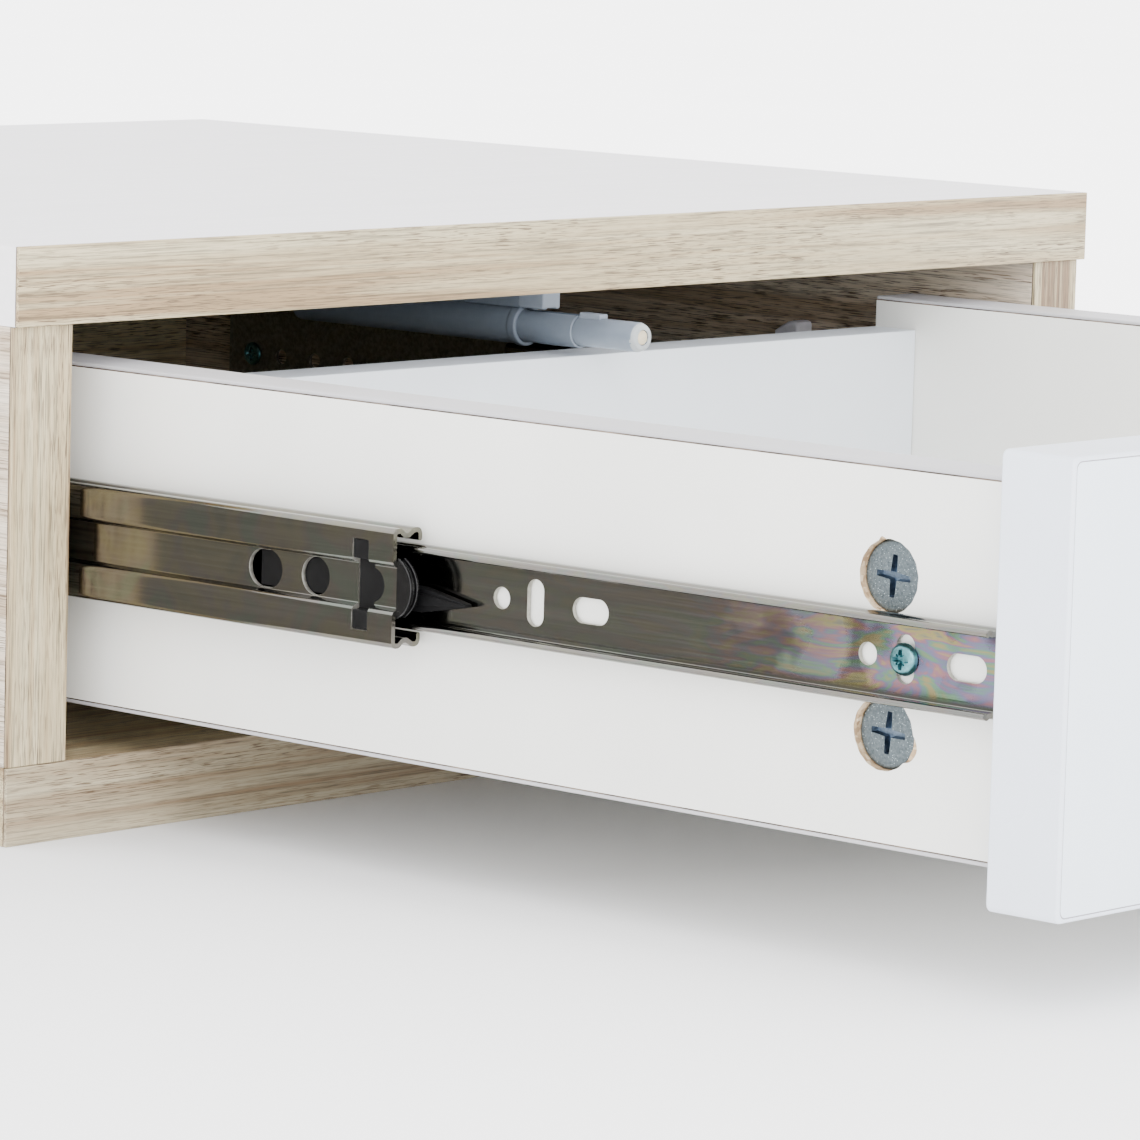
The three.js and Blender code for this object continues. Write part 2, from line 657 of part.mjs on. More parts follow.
function buildDrawerFront() {
  const [left, right] = [FRONT_SIDE_GAP, OPENING_WIDTH - FRONT_SIDE_GAP];
  const r = FRONT_CORNER;
  const outline = new THREE.Shape();
  outline.absarc(right - r, FRONT_HIGH - r, r, 0, Math.PI / 2);
  outline.absarc(left + r, FRONT_HIGH - r, r, Math.PI / 2, Math.PI);
  outline.absarc(left + r, FRONT_LOW + r, r, Math.PI, 1.5 * Math.PI);
  outline.absarc(right - r, FRONT_LOW + r, r, 1.5 * Math.PI, 2 * Math.PI);
  const panel = drawnAlongY(outline, FRONT_REAR_Y - BOARD, FRONT_REAR_Y);
  const reach = SIDE_FACE + SIDE_BOARD - BASE_GROOVE_DEPTH - FIT;
  const groove = block(
    [reach, OPENING_WIDTH - reach],
    [FRONT_REAR_Y - BASE_GROOVE_DEPTH, FRONT_REAR_Y + 1],
    [BASE_LOW - FIT, BASE_LOW + BASE_SHEET + FIT],
  );
  const threadEnd = FRONT_REAR_Y - CAM_BOLT_INTO_FRONT;
  const bolts = [BOLT_X, OPENING_WIDTH - BOLT_X].flatMap((x) =>
    BOLT_Z.map((z) => rod("y", CAM_BOLT_THREAD + FIT, threadEnd, FRONT_REAR_Y + 1, [x, z], BORE_SIDES)),
  );
  return cut(panel, [groove, ...bolts]);
}

function buildDrawer(group) {
  const side = buildDrawerSide();
  add(group, "drawer_front", buildDrawerFront(), WHITE_FRONT);
  add(group, "drawer_left_side", side, WHITE_SIDE);
  add(group, "drawer_right_side", mirroredRight(side), WHITE_SIDE);

  const inside = [SIDE_FACE + SIDE_BOARD + FIT, OPENING_WIDTH - SIDE_FACE - SIDE_BOARD - FIT];
  const back = block(
    inside,
    [BOX_REAR - DRAWER_BACK_BOARD, BOX_REAR],
    [BASE_LOW + BASE_SHEET + FIT, DRAWER_BACK_HIGH],
  );
  const reach = BACK_SCREW.length - SIDE_BOARD + 1;
  const pilotRadius = BACK_SCREW.shaft + FIT;
  const pilots = BACK_SCREW_Z.map((z) => [BACK_MID_Y, z]).flatMap((place) => [
    rod("x", pilotRadius, inside[0] - 1, inside[0] + reach, place, BORE_SIDES),
    rod("x", pilotRadius, inside[1] - reach, inside[1] + 1, place, BORE_SIDES),
  ]);
  add(group, "drawer_back", cut(back, pilots), WHITE_SIDE);

  const baseReach = BASE_GROOVE_DEPTH - 2 * FIT;
  const base = block(
    [inside[0] - baseReach, inside[1] + baseReach],
    [FRONT_REAR_Y - BASE_GROOVE_DEPTH + FIT, BOX_REAR],
    [BASE_LOW, BASE_LOW + BASE_SHEET],
  );
  add(group, "drawer_bottom", base, BASE_WHITE);

  BOLT_Z.forEach((z, i) => {
    const where = i === 0 ? "upper" : "lower";
    add(group, `left_${where}_cam_lock`, buildCam(z), CAM_ZINC);
    add(group, `right_${where}_cam_lock`, mirroredRight(buildCam(z)), CAM_ZINC);
    add(group, `left_${where}_cam_bolt`, buildCamBolt(z), ZINC);
    add(group, `right_${where}_cam_bolt`, mirroredRight(buildCamBolt(z)), ZINC);
  });
  BACK_SCREW_Z.forEach((z, i) => {
    const where = i === 0 ? "lower" : "upper";
    add(group, `left_${where}_back_screw`, buildBackScrew(z), ZINC);
    add(group, `right_${where}_back_screw`, mirroredRight(buildBackScrew(z)), ZINC);
  });
}

// ---- touch latch -------------------------------------------------------------------------

const ADAPTER_RADIUS = 4.9;
const RIM_RADIUS = 5.3;
const RIM_LENGTH = 3;
const FOOT_LENGTH = 8; // the adapter's foot reaches this far past its front
const STEM_HALF = 3.2; // half width of the foot and of the web above the tube
const PLATE_THICKNESS = 2;
const PLATE_MARGIN = 4.5; // plate past the screws' centres
const PLUNGER_STROKE = 20.2;
const RIB = { front: 11.3, rear: 18.4, halfWidth: 1.5, low: 3.2, high: 4.75 }; // on the plunger's top
const PLUNGER_REAR = 70;
const SLEEVE_REAR = 100;
const PAD_RADIUS = 1.9;
const PAD_DEPTH = 3;
const LATCH_AXIS = [LATCH_X, LATCH_Z];
const PLATE_UNDERSIDE = OPENING_HEIGHT - FIT - PLATE_THICKNESS;

// The room that the plunger's rib needs as it slides back, cut into what it passes.
function ribChannel(front, low, high) {
  const halfWidth = RIB.halfWidth + FIT;
  const rear = RIB.rear + PLUNGER_STROKE + 2 * FIT;
  return block([LATCH_X - halfWidth, LATCH_X + halfWidth], [front, rear], [low, high]);
}

// The adapter: a tube hung from a screw plate, with a raised rim and a foot at its front.
function buildLatchAdapter() {
  const under = OPENING_HEIGHT - FIT;
  const [near, far] = ADAPTER_SCREWS.map(([x]) => x);
  const length = [ADAPTER_FRONT, ADAPTER_REAR];
  const stem = [LATCH_X - STEM_HALF, LATCH_X + STEM_HALF];
  const stemHeight = [LATCH_Z + ADAPTER_RADIUS - 0.4, under];
  const pieces = [
    rod("y", ADAPTER_RADIUS, ...length, LATCH_AXIS),
    rod("y", RIM_RADIUS, ADAPTER_FRONT, ADAPTER_FRONT + RIM_LENGTH, LATCH_AXIS),
    block(stem, length, stemHeight),
    block(stem, [ADAPTER_FRONT - FOOT_LENGTH, ADAPTER_FRONT + 1], stemHeight),
    block([near - PLATE_MARGIN, far + PLATE_MARGIN], length, [PLATE_UNDERSIDE, under]),
  ];
  const bores = [
    ribChannel(ADAPTER_FRONT - FOOT_LENGTH - 1, LATCH_Z + 4, LATCH_Z + RIB.high + 2 * FIT),
    rod("y", SLEEVE_RADIUS + FIT, ADAPTER_FRONT - 10, ADAPTER_REAR - 3, LATCH_AXIS),
    ...ADAPTER_SCREWS.map((place) =>
      rod("z", SCREW_SHAFT + FIT, LATCH_Z, under + 1, place, BORE_SIDES),
    ),
  ];
  return cut(join(pieces), bores);
}

// The sleeve that the plunger slides in, open at the front, slotted on top for the rib.
function buildLatchSleeve() {
  const body = rod("y", SLEEVE_RADIUS, SLEEVE_FRONT, SLEEVE_REAR, LATCH_AXIS);
  const bore = [SLEEVE_FRONT - 1, SLEEVE_REAR - 3];
  return cut(body, [
    rod("y", PLUNGER_RADIUS + FIT, ...bore, LATCH_AXIS),
    ribChannel(SLEEVE_FRONT - 1, LATCH_Z + 2, LATCH_Z + SLEEVE_RADIUS + 1),
  ]);
}

// The plunger, stepped at its tip, with a rib on top and a blind bore for the pad.
function buildPlunger() {
  const body = join([
    rod("y", PLUNGER_RADIUS, PLUNGER_TIP + 0.6, PLUNGER_REAR, LATCH_AXIS),
    rod("y", PLUNGER_RADIUS - 0.5, PLUNGER_TIP, PLUNGER_TIP + 1, LATCH_AXIS),
    block(
      [LATCH_X - RIB.halfWidth, LATCH_X + RIB.halfWidth],
      [RIB.front, RIB.rear],
      [LATCH_Z + RIB.low, LATCH_Z + RIB.high],
    ),
  ]);
  const seat = [PLUNGER_TIP - 1, PLUNGER_TIP + PAD_DEPTH + FIT];
  return cut(body, [rod("y", PAD_RADIUS + FIT, ...seat, LATCH_AXIS, 16)]);
}

function buildLatch(group) {
  add(group, "latch_adapter", buildLatchAdapter(), GREY_PLASTIC);
  add(group, "latch_sleeve", buildLatchSleeve(), GREY_PLASTIC);
  add(group, "latch_plunger", buildPlunger(), GREY_PLASTIC);
  const pad = rod("y", PAD_RADIUS, PLUNGER_TIP + 0.1, PLUNGER_TIP + PAD_DEPTH, LATCH_AXIS, 16);
  add(group, "latch_magnet_pad", pad, MAGNET_PAD);
  ADAPTER_SCREWS.forEach(([x, y], i) => {
    const screw = headedScrew(ADAPTER_SCREW_LENGTH + PLATE_THICKNESS, PAN_HEAD);
    const mesh = add(group, `latch_${i ? "rear" : "front"}_screw`, screw, ZINC);
    mesh.rotation.y = Math.PI / 2;
    mesh.position.set(x, y, PLATE_UNDERSIDE - FIT);
  });
}

// ---- assembly ----------------------------------------------------------------------------

const compartment = new THREE.Group();
compartment.position.set(-OPENING_WIDTH / 2, -DEPTH / 2, BOARD);

buildCompartment(compartment);
buildDrawer(compartment);
buildLatch(compartment);

const leftSlide = new THREE.Group();
leftSlide.position.set(0, 0, SLIDE_Z);
buildSlide(leftSlide, "left");
compartment.add(leftSlide);

// The right slide is the same part turned half round about its length.
const rightSlide = new THREE.Group();
rightSlide.position.set(OPENING_WIDTH, 0, SLIDE_Z);
rightSlide.rotation.y = Math.PI;
buildSlide(rightSlide, "right");
compartment.add(rightSlide);

const drawerUnit = new THREE.Group();
drawerUnit.add(compartment);

export default drawerUnit;
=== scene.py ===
"""Under-desk drawer in its compartment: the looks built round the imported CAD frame.

Shapes are drawn in millimetres in the compartment's own frame (x from the left divider's inner
face, y back from the front plane, z up from the bottom panel's upper face), then placed in metres.
"""

import math

import bmesh
import bpy
from mathutils import Matrix, Vector


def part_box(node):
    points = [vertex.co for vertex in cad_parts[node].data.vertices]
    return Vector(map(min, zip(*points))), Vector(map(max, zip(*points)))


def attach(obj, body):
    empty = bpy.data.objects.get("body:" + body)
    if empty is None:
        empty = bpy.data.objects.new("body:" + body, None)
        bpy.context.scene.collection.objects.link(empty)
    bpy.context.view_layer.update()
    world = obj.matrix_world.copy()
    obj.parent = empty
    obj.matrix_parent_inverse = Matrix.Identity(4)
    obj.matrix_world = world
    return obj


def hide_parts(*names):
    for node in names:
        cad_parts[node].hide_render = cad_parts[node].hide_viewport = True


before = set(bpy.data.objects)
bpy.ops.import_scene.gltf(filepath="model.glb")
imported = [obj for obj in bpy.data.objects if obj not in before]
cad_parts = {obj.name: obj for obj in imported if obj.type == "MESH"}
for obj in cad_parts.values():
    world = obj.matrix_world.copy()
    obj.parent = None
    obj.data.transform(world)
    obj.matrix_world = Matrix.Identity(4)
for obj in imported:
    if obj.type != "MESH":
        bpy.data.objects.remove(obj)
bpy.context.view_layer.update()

# ---- dimensions taken from the frame, in millimetres ------------------------------------------

MM = 0.001


def node_box(node):
    """A CAD node's lowest and highest corners in the row's frame, in millimetres."""
    low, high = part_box(node)
    return Vector(low) / MM, Vector(high) / MM


divider_low, divider_high = node_box("left_divider")
ORIGIN = Vector((divider_high.x, divider_low.y, divider_low.z))
OPENING_WIDTH = node_box("right_side_panel")[0].x - divider_high.x
OPENING_HEIGHT = node_box("top_panel")[0].z - ORIGIN.z


def drawn_box(node):
    """A CAD node's box in the compartment's frame."""
    low, high = node_box(node)
    return low - ORIGIN, high - ORIGIN


def span(node, axis="y"):
    """A CAD node's low and high end along one of the compartment's axes."""
    low, high = drawn_box(node)
    return getattr(low, axis), getattr(high, axis)


def middle_of(node, axis="y"):
    return sum(span(node, axis)) / 2


SIDES = ("left", "right")
SLIDE_Z = 50.0  # height of the slides' centre line
STEEL = 1.1  # thickness of the slides' sheet
OUTER_FRONT, OUTER_REAR = span("left_outer_rail")
MID_FRONT, MID_REAR = span("left_mid_rail")
INNER_FRONT, INNER_REAR = span("left_inner_rail")

# Upper halves of the slide members' centre lines: x from the compartment board, z from the middle.
OUTER_HALF = [
    (10.6, 15.6), (10.9, 16.4), (10.2, 16.95), (7.8, 16.6), (4.6, 16.6), (2.2, 16.95),
    (1.0, 16.7), (0.65, 16.1),
]
MID_HALF = [
    (10.35, 10.4), (10.35, 11.6), (10.0, 12.3), (9.2, 12.45), (8.4, 12.4), (6.8, 11.4),
    (5.6, 11.4), (4.3, 12.45), (3.1, 12.45), (2.6, 11.9), (2.6, 5.9), (2.9, 5.4),
    (4.5, 4.9), (4.8, 4.4),
]
INNER_HALF = [
    (6.6, 8.1), (7.2, 8.6), (8.0, 8.15), (9.2, 8.15), (10.2, 8.6), (11.5, 8.6), (12.0, 8.1),
]
OUTER_CAGE_HALF = [(7.9, 14.1), (1.95, 14.1), (1.6, 13.7), (1.6, 4.9), (2.6, 3.6), (3.5, 3.2)]
INNER_CAGE_HALF = [(9.4, 10.05), (6.1, 10.05), (5.85, 9.7), (5.85, 4.4)]
CAGE_SHEET = 0.5
CAGE_END = 10  # closed length at each end of a cage's window
OUTER_TRACK = {"x": 6.2, "z": 14.1, "ball": 1.85, "window": (2.9, 5), "window_half": 4}
INNER_TRACK = {"x": 8.6, "z": 10.05, "ball": 1.15, "window": (5, 7), "window_half": 6}
BALLS_IN_A_ROW = 9

# Each member's web: the x of its two faces, and of the two ends of the cutters that go through it.
OUTER_WEB = {"faces": (0.1, 1.2), "cut": (-2, 4)}
MID_WEB = {"faces": (4.25, 5.35), "cut": (0.5, 9)}
INNER_WEB = {"faces": (11.45, 12.55), "cut": (9, 14)}
# Places of the holes, back from each member's front.
OUTER_HOLES = (14, 28, 42, 232, 246, 260, 272)
OUTER_SLOT = 120
SCREW_SLOT = (4.4, 11)
STOP_SLOT = (8.3, 10.2)
MID_HOLE = {"round": 25.4, "level": 40.9}
MID_REAR_HOLE = {"stop": 60, "screw": 24}
HOLE_GROUP = {"level": 8.8, "upright": 24.6, "round": 34.4}
SECOND_GROUP_SHIFT = 101.3
CLIP_FRONT = MID_FRONT + 7.4
CLIP_WIDTH, CLIP_HALF_HEIGHT = 4.8, 9.9
CLIP_TAB_LOW = 5.6
CLIP_REAR = -56.0
CLIP_PLAY = 0.12  # gap between the clip and the edge of its window
STRIP_HALF = 3.9  # half height of the clip's strip behind the web
BUMP_RADIUS, BUMP_SETBACK = 3.8, 0.9
BUFFER_RADIUS, BUFFER_REACH = 7.2, 4.2
BUFFER_LAYERS = [(3.4, 4.3, 0.0), (4.45, 5.2, -0.35), (5.35, 6.1, 0.0)]  # x from and to, growth
LEVER_PIVOT = (MID_FRONT + 18, -2.5)
LEVER_TIP = MID_FRONT - 15.5
LEVER_TAPER = 13.0
LEVER_EYE = 4.1
OUTER_SCREW_SEAT, INNER_SCREW_SEAT = 1.3, 11.35
SCREW_HEAD_RADIUS = 3.4
SCREW_SHAFT = 1.7
FLAT_HEAD, PAN_HEAD = 0.9, 1.6  # heights of the screw heads
HEAD_CURVE = [(1, 0.5), (0.96, 0.7), (0.84, 0.84), (0.55, 0.94), (0.2, 1)]  # shares of height, radius
THREAD_PITCH = 1.0
# A slide's screws: member, body, seat, way that the shaft points along x, head height, length.
SLIDE_SCREWS = [
    ("outer", "housing", OUTER_SCREW_SEAT, -1, FLAT_HEAD, 14),
    ("inner", "drawer", INNER_SCREW_SEAT, 1, PAN_HEAD, 12),
]

BAND = 0.9  # thickness of an edge band
GLUE = 0.24  # thickness of the glue line behind it

SIDE_FACE, SIDE_INSIDE = span("drawer_left_side", "x")
GROOVE_DEPTH = 6
GROOVE_PLAY = 0.15
CAM_RADIUS, CAM_BORE, CAM_DEPTH = 7.4, 7.6, 11.5
CAM_RECESS_DEPTH = 1.5
CAM_Y = span("left_upper_cam_lock")[0] + CAM_RADIUS
CAM_FACE = span("left_upper_cam_lock", "x")[0]
CAM_Z = {"upper": SLIDE_Z + 16, "lower": SLIDE_Z - 16}
# Break-outs at each cam's bore: degrees round it, reach and half width in degrees.
CAM_CHIPS = {"upper": [(75, 0.7, 6), (254, 0.8, 6)], "lower": [(200, 1.5, 24), (20, 0.3, 40)]}
BACK_SCREW_Y = middle_of("drawer_back")
BACK_SCREW_Z = (28.0, 72.0)
BACK_SCREW_BORE, BACK_SCREW_SINK = 4.95, 2.35
FRONT_CORNER = 1.5
FRONT_SOFT = 0.7  # rounding of the drawer front's edge band

LATCH_X, LATCH_Z = 190.0, 86.9
ADAPTER_SPAN = (37.0, 117.0)
SLEEVE_RADIUS, PLUNGER_RADIUS, PAD_RADIUS = 4.25, 3.7, 1.95
SLEEVE_FRONT = 18.6
LATCH_PLAY = 0.15
RIB_HALF, RIB_CHANNEL_HALF = 1.5, 1.65
RIB_SPAN, RIB_HEIGHTS = (11.3, 18.4), (3.2, 4.75)
TIP_LENGTH = 1.2  # pale part of the plunger's nose
CHANNEL_REAR = 38.9
STEM_HALF, STEM_LOW = 3.2, 4.6  # the foot and the web above the tube
FOOT_LENGTH = 8
PLATE_HALF, PLATE_THICKNESS = 14, 2

GUIDE_OUTLINE = [
    (77.2, 68.2), (86, 68.2), (86, 74.4), (84.2, 75.6), (81.6, 77), (80.1, 77.4),
    (78.6, 77.4), (77.5, 77), (77.2, 76.2),
]
GUIDE_MIDDLE = (81.4, 72.4)
SIDE_NAMES = {"-y": "front", "-z": "lower", "+z": "upper"}
GLUE_INSET = 0.1

WORLD_STRENGTH = 3.7
KEY_POWER = 45.0
FILL_POWER = 12.0
FLOOR_GLOW = 2.5
GLOW_RANGE = (300.0, 1200.0)  # the floor starts to glow, and glows fully, this far out

# ---- shapes -----------------------------------------------------------------------------------


HOLE_SIDES = 36
SAME_POINT = 0.000001  # metres within which two points of a mesh are one
SHARP_ANGLE = 40  # degrees between two faces that keep a hard edge
MARKS = 3  # how many material numbers a shape may carry


class Shape:
    """Points and faces in millimetres, with a material number for each face."""

    def __init__(self, points=(), faces=(), marks=()):
        self.points = [Vector(p) for p in points]
        self.faces = [tuple(f) for f in faces]
        self.marks = list(marks) or [0] * len(self.faces)

    def add(self, other):
        start = len(self.points)
        self.points += other.points
        self.faces += [tuple(i + start for i in face) for face in other.faces]
        self.marks += other.marks
        return self

    def marked(self, mark):
        self.marks = [mark] * len(self.faces)
        return self

    def through(self, place):
        self.points = [Vector(place(p)) for p in self.points]
        return self

    def mesh(self):
        made = bpy.data.meshes.new("shape")
        made.from_pydata([tuple(p) for p in self.points], [], self.faces)
        made.polygons.foreach_set("material_index", self.marks)
        made.update()
        return made


def shape_of(mesh):
    return Shape(
        [v.co.copy() for v in mesh.vertices],
        [tuple(p.vertices) for p in mesh.polygons],
        [p.material_index for p in mesh.polygons],
    )


def facing_out(shape):
    """The same shape with all its faces turned outwards."""
    mesh = shape.mesh()
    work = bmesh.new()
    work.from_mesh(mesh)
    bmesh.ops.recalc_face_normals(work, faces=work.faces)
    work.to_mesh(mesh)
    work.free()
    turned = shape_of(mesh)
    bpy.data.meshes.remove(mesh)
    return turned


def loft(rings):
    """A closed skin over rings of points that follow one another, capped at both ends."""
    count = len(rings[0])
    points = [p for ring in rings for p in ring]
    faces = [tuple(range(count)), tuple(reversed(range(len(points) - count, len(points))))]
    for r in range(len(rings) - 1):
        for i in range(count):
            j = (i + 1) % count
            a, b = r * count, (r + 1) * count
            faces.append((a + i, b + i, b + j, a + j))
    return facing_out(Shape(points, faces))


def on_axis(axis, along, a, b):
    """A point at a distance along one axis, with its other two coordinates in x, y, z order."""
    return {"x": (along, a, b), "y": (a, along, b), "z": (a, b, along)}[axis]


def turned(profile, axis, centre, sides):
    """A lathed body: profile is a list of (distance along the axis, radius)."""
    circle = [2 * math.pi * k / sides for k in range(sides)]
    rings = [
        [on_axis(axis, along, centre[0] + r * math.cos(t), centre[1] + r * math.sin(t)) for t in circle]
        for along, r in profile
    ]
    return loft(rings)


def rounded_box(low, high, round_off, segments=3):
    """A block with all its edges rounded."""
    work = bmesh.new()
    bmesh.ops.create_cube(work, size=1)
    size = Vector(high) - Vector(low)
    middle = (Vector(high) + Vector(low)) / 2
    for v in work.verts:
        v.co = Vector((v.co.x * size.x, v.co.y * size.y, v.co.z * size.z)) + middle
    if round_off:
        limit = min(round_off, min(size) * 0.45)
        bmesh.ops.bevel(
            work, geom=work.edges[:], offset=limit, segments=segments, profile=0.5, affect="EDGES"
        )
    mesh = bpy.data.meshes.new("block")
    work.to_mesh(mesh)
    work.free()
    made = shape_of(mesh)
    bpy.data.meshes.remove(mesh)
    return made


def carve(solid, tools):
    """The solid with the tools cut out of it; a cut face takes its tool's material number."""
    scene = bpy.context.scene
    base = bpy.data.objects.new("solid", solid.mesh())
    tool = bpy.data.objects.new("tool", tools.mesh())
    for obj in (base, tool):
        scene.collection.objects.link(obj)
        for k in range(MARKS):
            obj.data.materials.append(placeholder(k))
    cutting = base.modifiers.new("cut", "BOOLEAN")
    cutting.object = tool
    cutting.operation = "DIFFERENCE"
    cutting.solver = "MANIFOLD"
    graph = bpy.context.evaluated_depsgraph_get()
    mesh = bpy.data.meshes.new_from_object(base.evaluated_get(graph))
    made = shape_of(mesh)
    for obj in (base, tool):
        old = obj.data
        bpy.data.objects.remove(obj)
        bpy.data.meshes.remove(old)
    bpy.data.meshes.remove(mesh)
    return made


def placeholder(number):
    """A stand-in material that keeps the material numbers in place during a cut."""
    name = f"cut_{number}"
    return bpy.data.materials.get(name) or bpy.data.materials.new(name)


def tools_of(shapes):
    whole = Shape()
    for shape in shapes:
        whole.add(shape)
    return whole


def filleted(line, radius):
    """The polyline with its inner corners rounded."""
    steps = 5
    shortest, straight = 0.02, 3.1
    points = [Vector(p) for p in line]
    smooth = [points[0]]
    for before, corner, after in zip(points, points[1:], points[2:]):
        into, out = (before - corner), (after - corner)
        room = 0.48 * min(into.length, out.length)
        angle = into.angle(out)
        trim = min(room, radius / math.tan(angle / 2)) if angle < straight else 0
        if trim < shortest:
            smooth.append(corner)
            continue
        start, end = corner + into.normalized() * trim, corner + out.normalized() * trim
        for k in range(steps + 1):
            t = k / steps
            smooth.append(start * (1 - t) ** 2 + corner * 2 * t * (1 - t) + end * t * t)
    smooth.append(points[-1])
    return smooth


def sheet_outline(line, thickness):
    """The closed outline of a bent sheet with rounded ends, from its centre line."""
    half = thickness / 2
    normals = []
    for i in range(len(line)):
        along = line[min(i + 1, len(line) - 1)] - line[max(i - 1, 0)]
        normals.append(Vector((-along.y, along.x)).normalized())
    left = [p + n * half for p, n in zip(line, normals)]
    right = [p - n * half for p, n in zip(line, normals)]

    def round_end(p, n, ahead):
        return [
            p + n * half * math.cos(t) + ahead * half * 0.8 * math.sin(t)
            for t in (math.pi / 4, math.pi / 2, 3 * math.pi / 4)
        ]

    last_ahead = (line[-1] - line[-2]).normalized()
    first_ahead = (line[0] - line[1]).normalized()
    return (
        left
        + round_end(line[-1], normals[-1], last_ahead)
        + right[::-1]
        + round_end(line[0], -normals[0], first_ahead)
    )


def bent_sheet(half_line, thickness, low, high, bend=0.9):
    """A sheet member: its upper half drawn, made whole by the mirror image, drawn out along y."""
    whole = half_line + [(x, -z) for x, z in reversed(half_line)]
    outline = sheet_outline(filleted(whole, bend), thickness)
    return loft([[(p.x, y, p.y) for p in outline] for y in (low, high)])


def round_outline(radius):
    """A round outline in y and z, as a function of how far it is grown."""
    circle = [2 * math.pi * k / HOLE_SIDES for k in range(HOLE_SIDES)]

    def outline(grow):
        return [((radius + grow) * math.cos(t), (radius + grow) * math.sin(t)) for t in circle]

    return outline


def slot_outline(width, length, along):
    """A slot with round ends, its length along y or z, as a function of how far it is grown."""
    shift = (length - width) / 2

    def outline(grow):
        points = []
        for k in range(HOLE_SIDES):
            t = 2 * math.pi * (k + 0.5) / HOLE_SIDES
            a, b = math.cos(t), math.sin(t)
            radius = width / 2 + grow
            if along == "y":
                points.append((a * radius + math.copysign(shift, a), b * radius))
            else:
                points.append((a * radius, b * radius + math.copysign(shift, b)))
        return points

    return outline


def clip_outline(grow):
    """The end clip's outline: an upright bar with a half-round bump on its front side."""
    front, rear, top = -grow, CLIP_WIDTH + grow, CLIP_HALF_HEIGHT + grow
    radius = BUMP_RADIUS + grow
    spread = math.acos((BUMP_SETBACK + grow) / radius)
    steps = 14
    bump = []
    for k in range(steps + 1):
        t = -spread + 2 * spread * k / steps
        bump.append((BUMP_SETBACK - radius * math.cos(t), radius * math.sin(t)))
    return bump + [(front, top), (rear, top), (rear, -top), (front, -top)]


def opening(outline, y, web, flare):
    """A cutter along x through a web. It flares at the web's faces, so the hole is chamfered."""
    (near, far), (low, high) = web["faces"], web["cut"]
    rings = [(low, flare + 1), (near + flare, 0.0), (far - flare, 0.0), (high, flare + 1)]
    return loft([[(x, y + a, b) for a, b in outline(grow)] for x, grow in rings]).marked(1)


def straight_opening(outline, y, low, high):
    return loft([[(x, y + a, b) for a, b in outline(0)] for x in (low, high)]).marked(1)


def soft_prism(outline, centre, low, high, round_off):
    """A prism along x with its end edges rounded over."""
    y, z = centre
    rings = [(low + round_off * k, round_off * g) for k, g in quarter_round()]
    back = [(high - (x - low), grow) for x, grow in reversed(rings)]
    return loft([[(x, y + a, z + b) for a, b in outline(grow)] for x, grow in rings + back])


def quarter_round():
    """How far in and how much shrunk each ring of a rounded edge is, as shares of its radius."""
    angles = [k * math.pi / 8 for k in range(5)]
    return [(1 - math.cos(t), math.sin(t) - 1) for t in angles]


# ---- pieces -----------------------------------------------------------------------------------


def in_slide(side):
    """Takes a point in a slide's frame to the compartment's. The right slide is turned half round."""
    if side == "left":
        return lambda p: (p[0], p[1], SLIDE_Z + p[2])
    return lambda p: (OPENING_WIDTH - p[0], p[1], SLIDE_Z - p[2])


def mirrored(p):
    return (OPENING_WIDTH - p[0], p[1], p[2])


def piece(name, shape, body, materials, replaces=()):
    """Turns a shape into an object in metres that rides on a CAD body."""
    placed = Shape(shape.points, shape.faces, shape.marks)
    placed.through(lambda p: (Vector(p) + ORIGIN) * MM)
    mesh = placed.mesh()
    work = bmesh.new()
    work.from_mesh(mesh)
    bmesh.ops.remove_doubles(work, verts=work.verts, dist=SAME_POINT)
    bmesh.ops.recalc_face_normals(work, faces=work.faces)
    work.to_mesh(mesh)
    work.free()
    mesh.name = name
    for material in materials:
        mesh.materials.append(material)
    mesh.shade_smooth()
    mesh.set_sharp_from_angle(angle=math.radians(SHARP_ANGLE))
    obj = bpy.data.objects.new(name, mesh)
    bpy.context.scene.collection.objects.link(obj)
    weighted = obj.modifiers.new("even_normals", "WEIGHTED_NORMAL")
    weighted.keep_sharp = True
    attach(obj, body)
    if replaces:
        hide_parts(*replaces)


# ---- materials --------------------------------------------------------------------------------


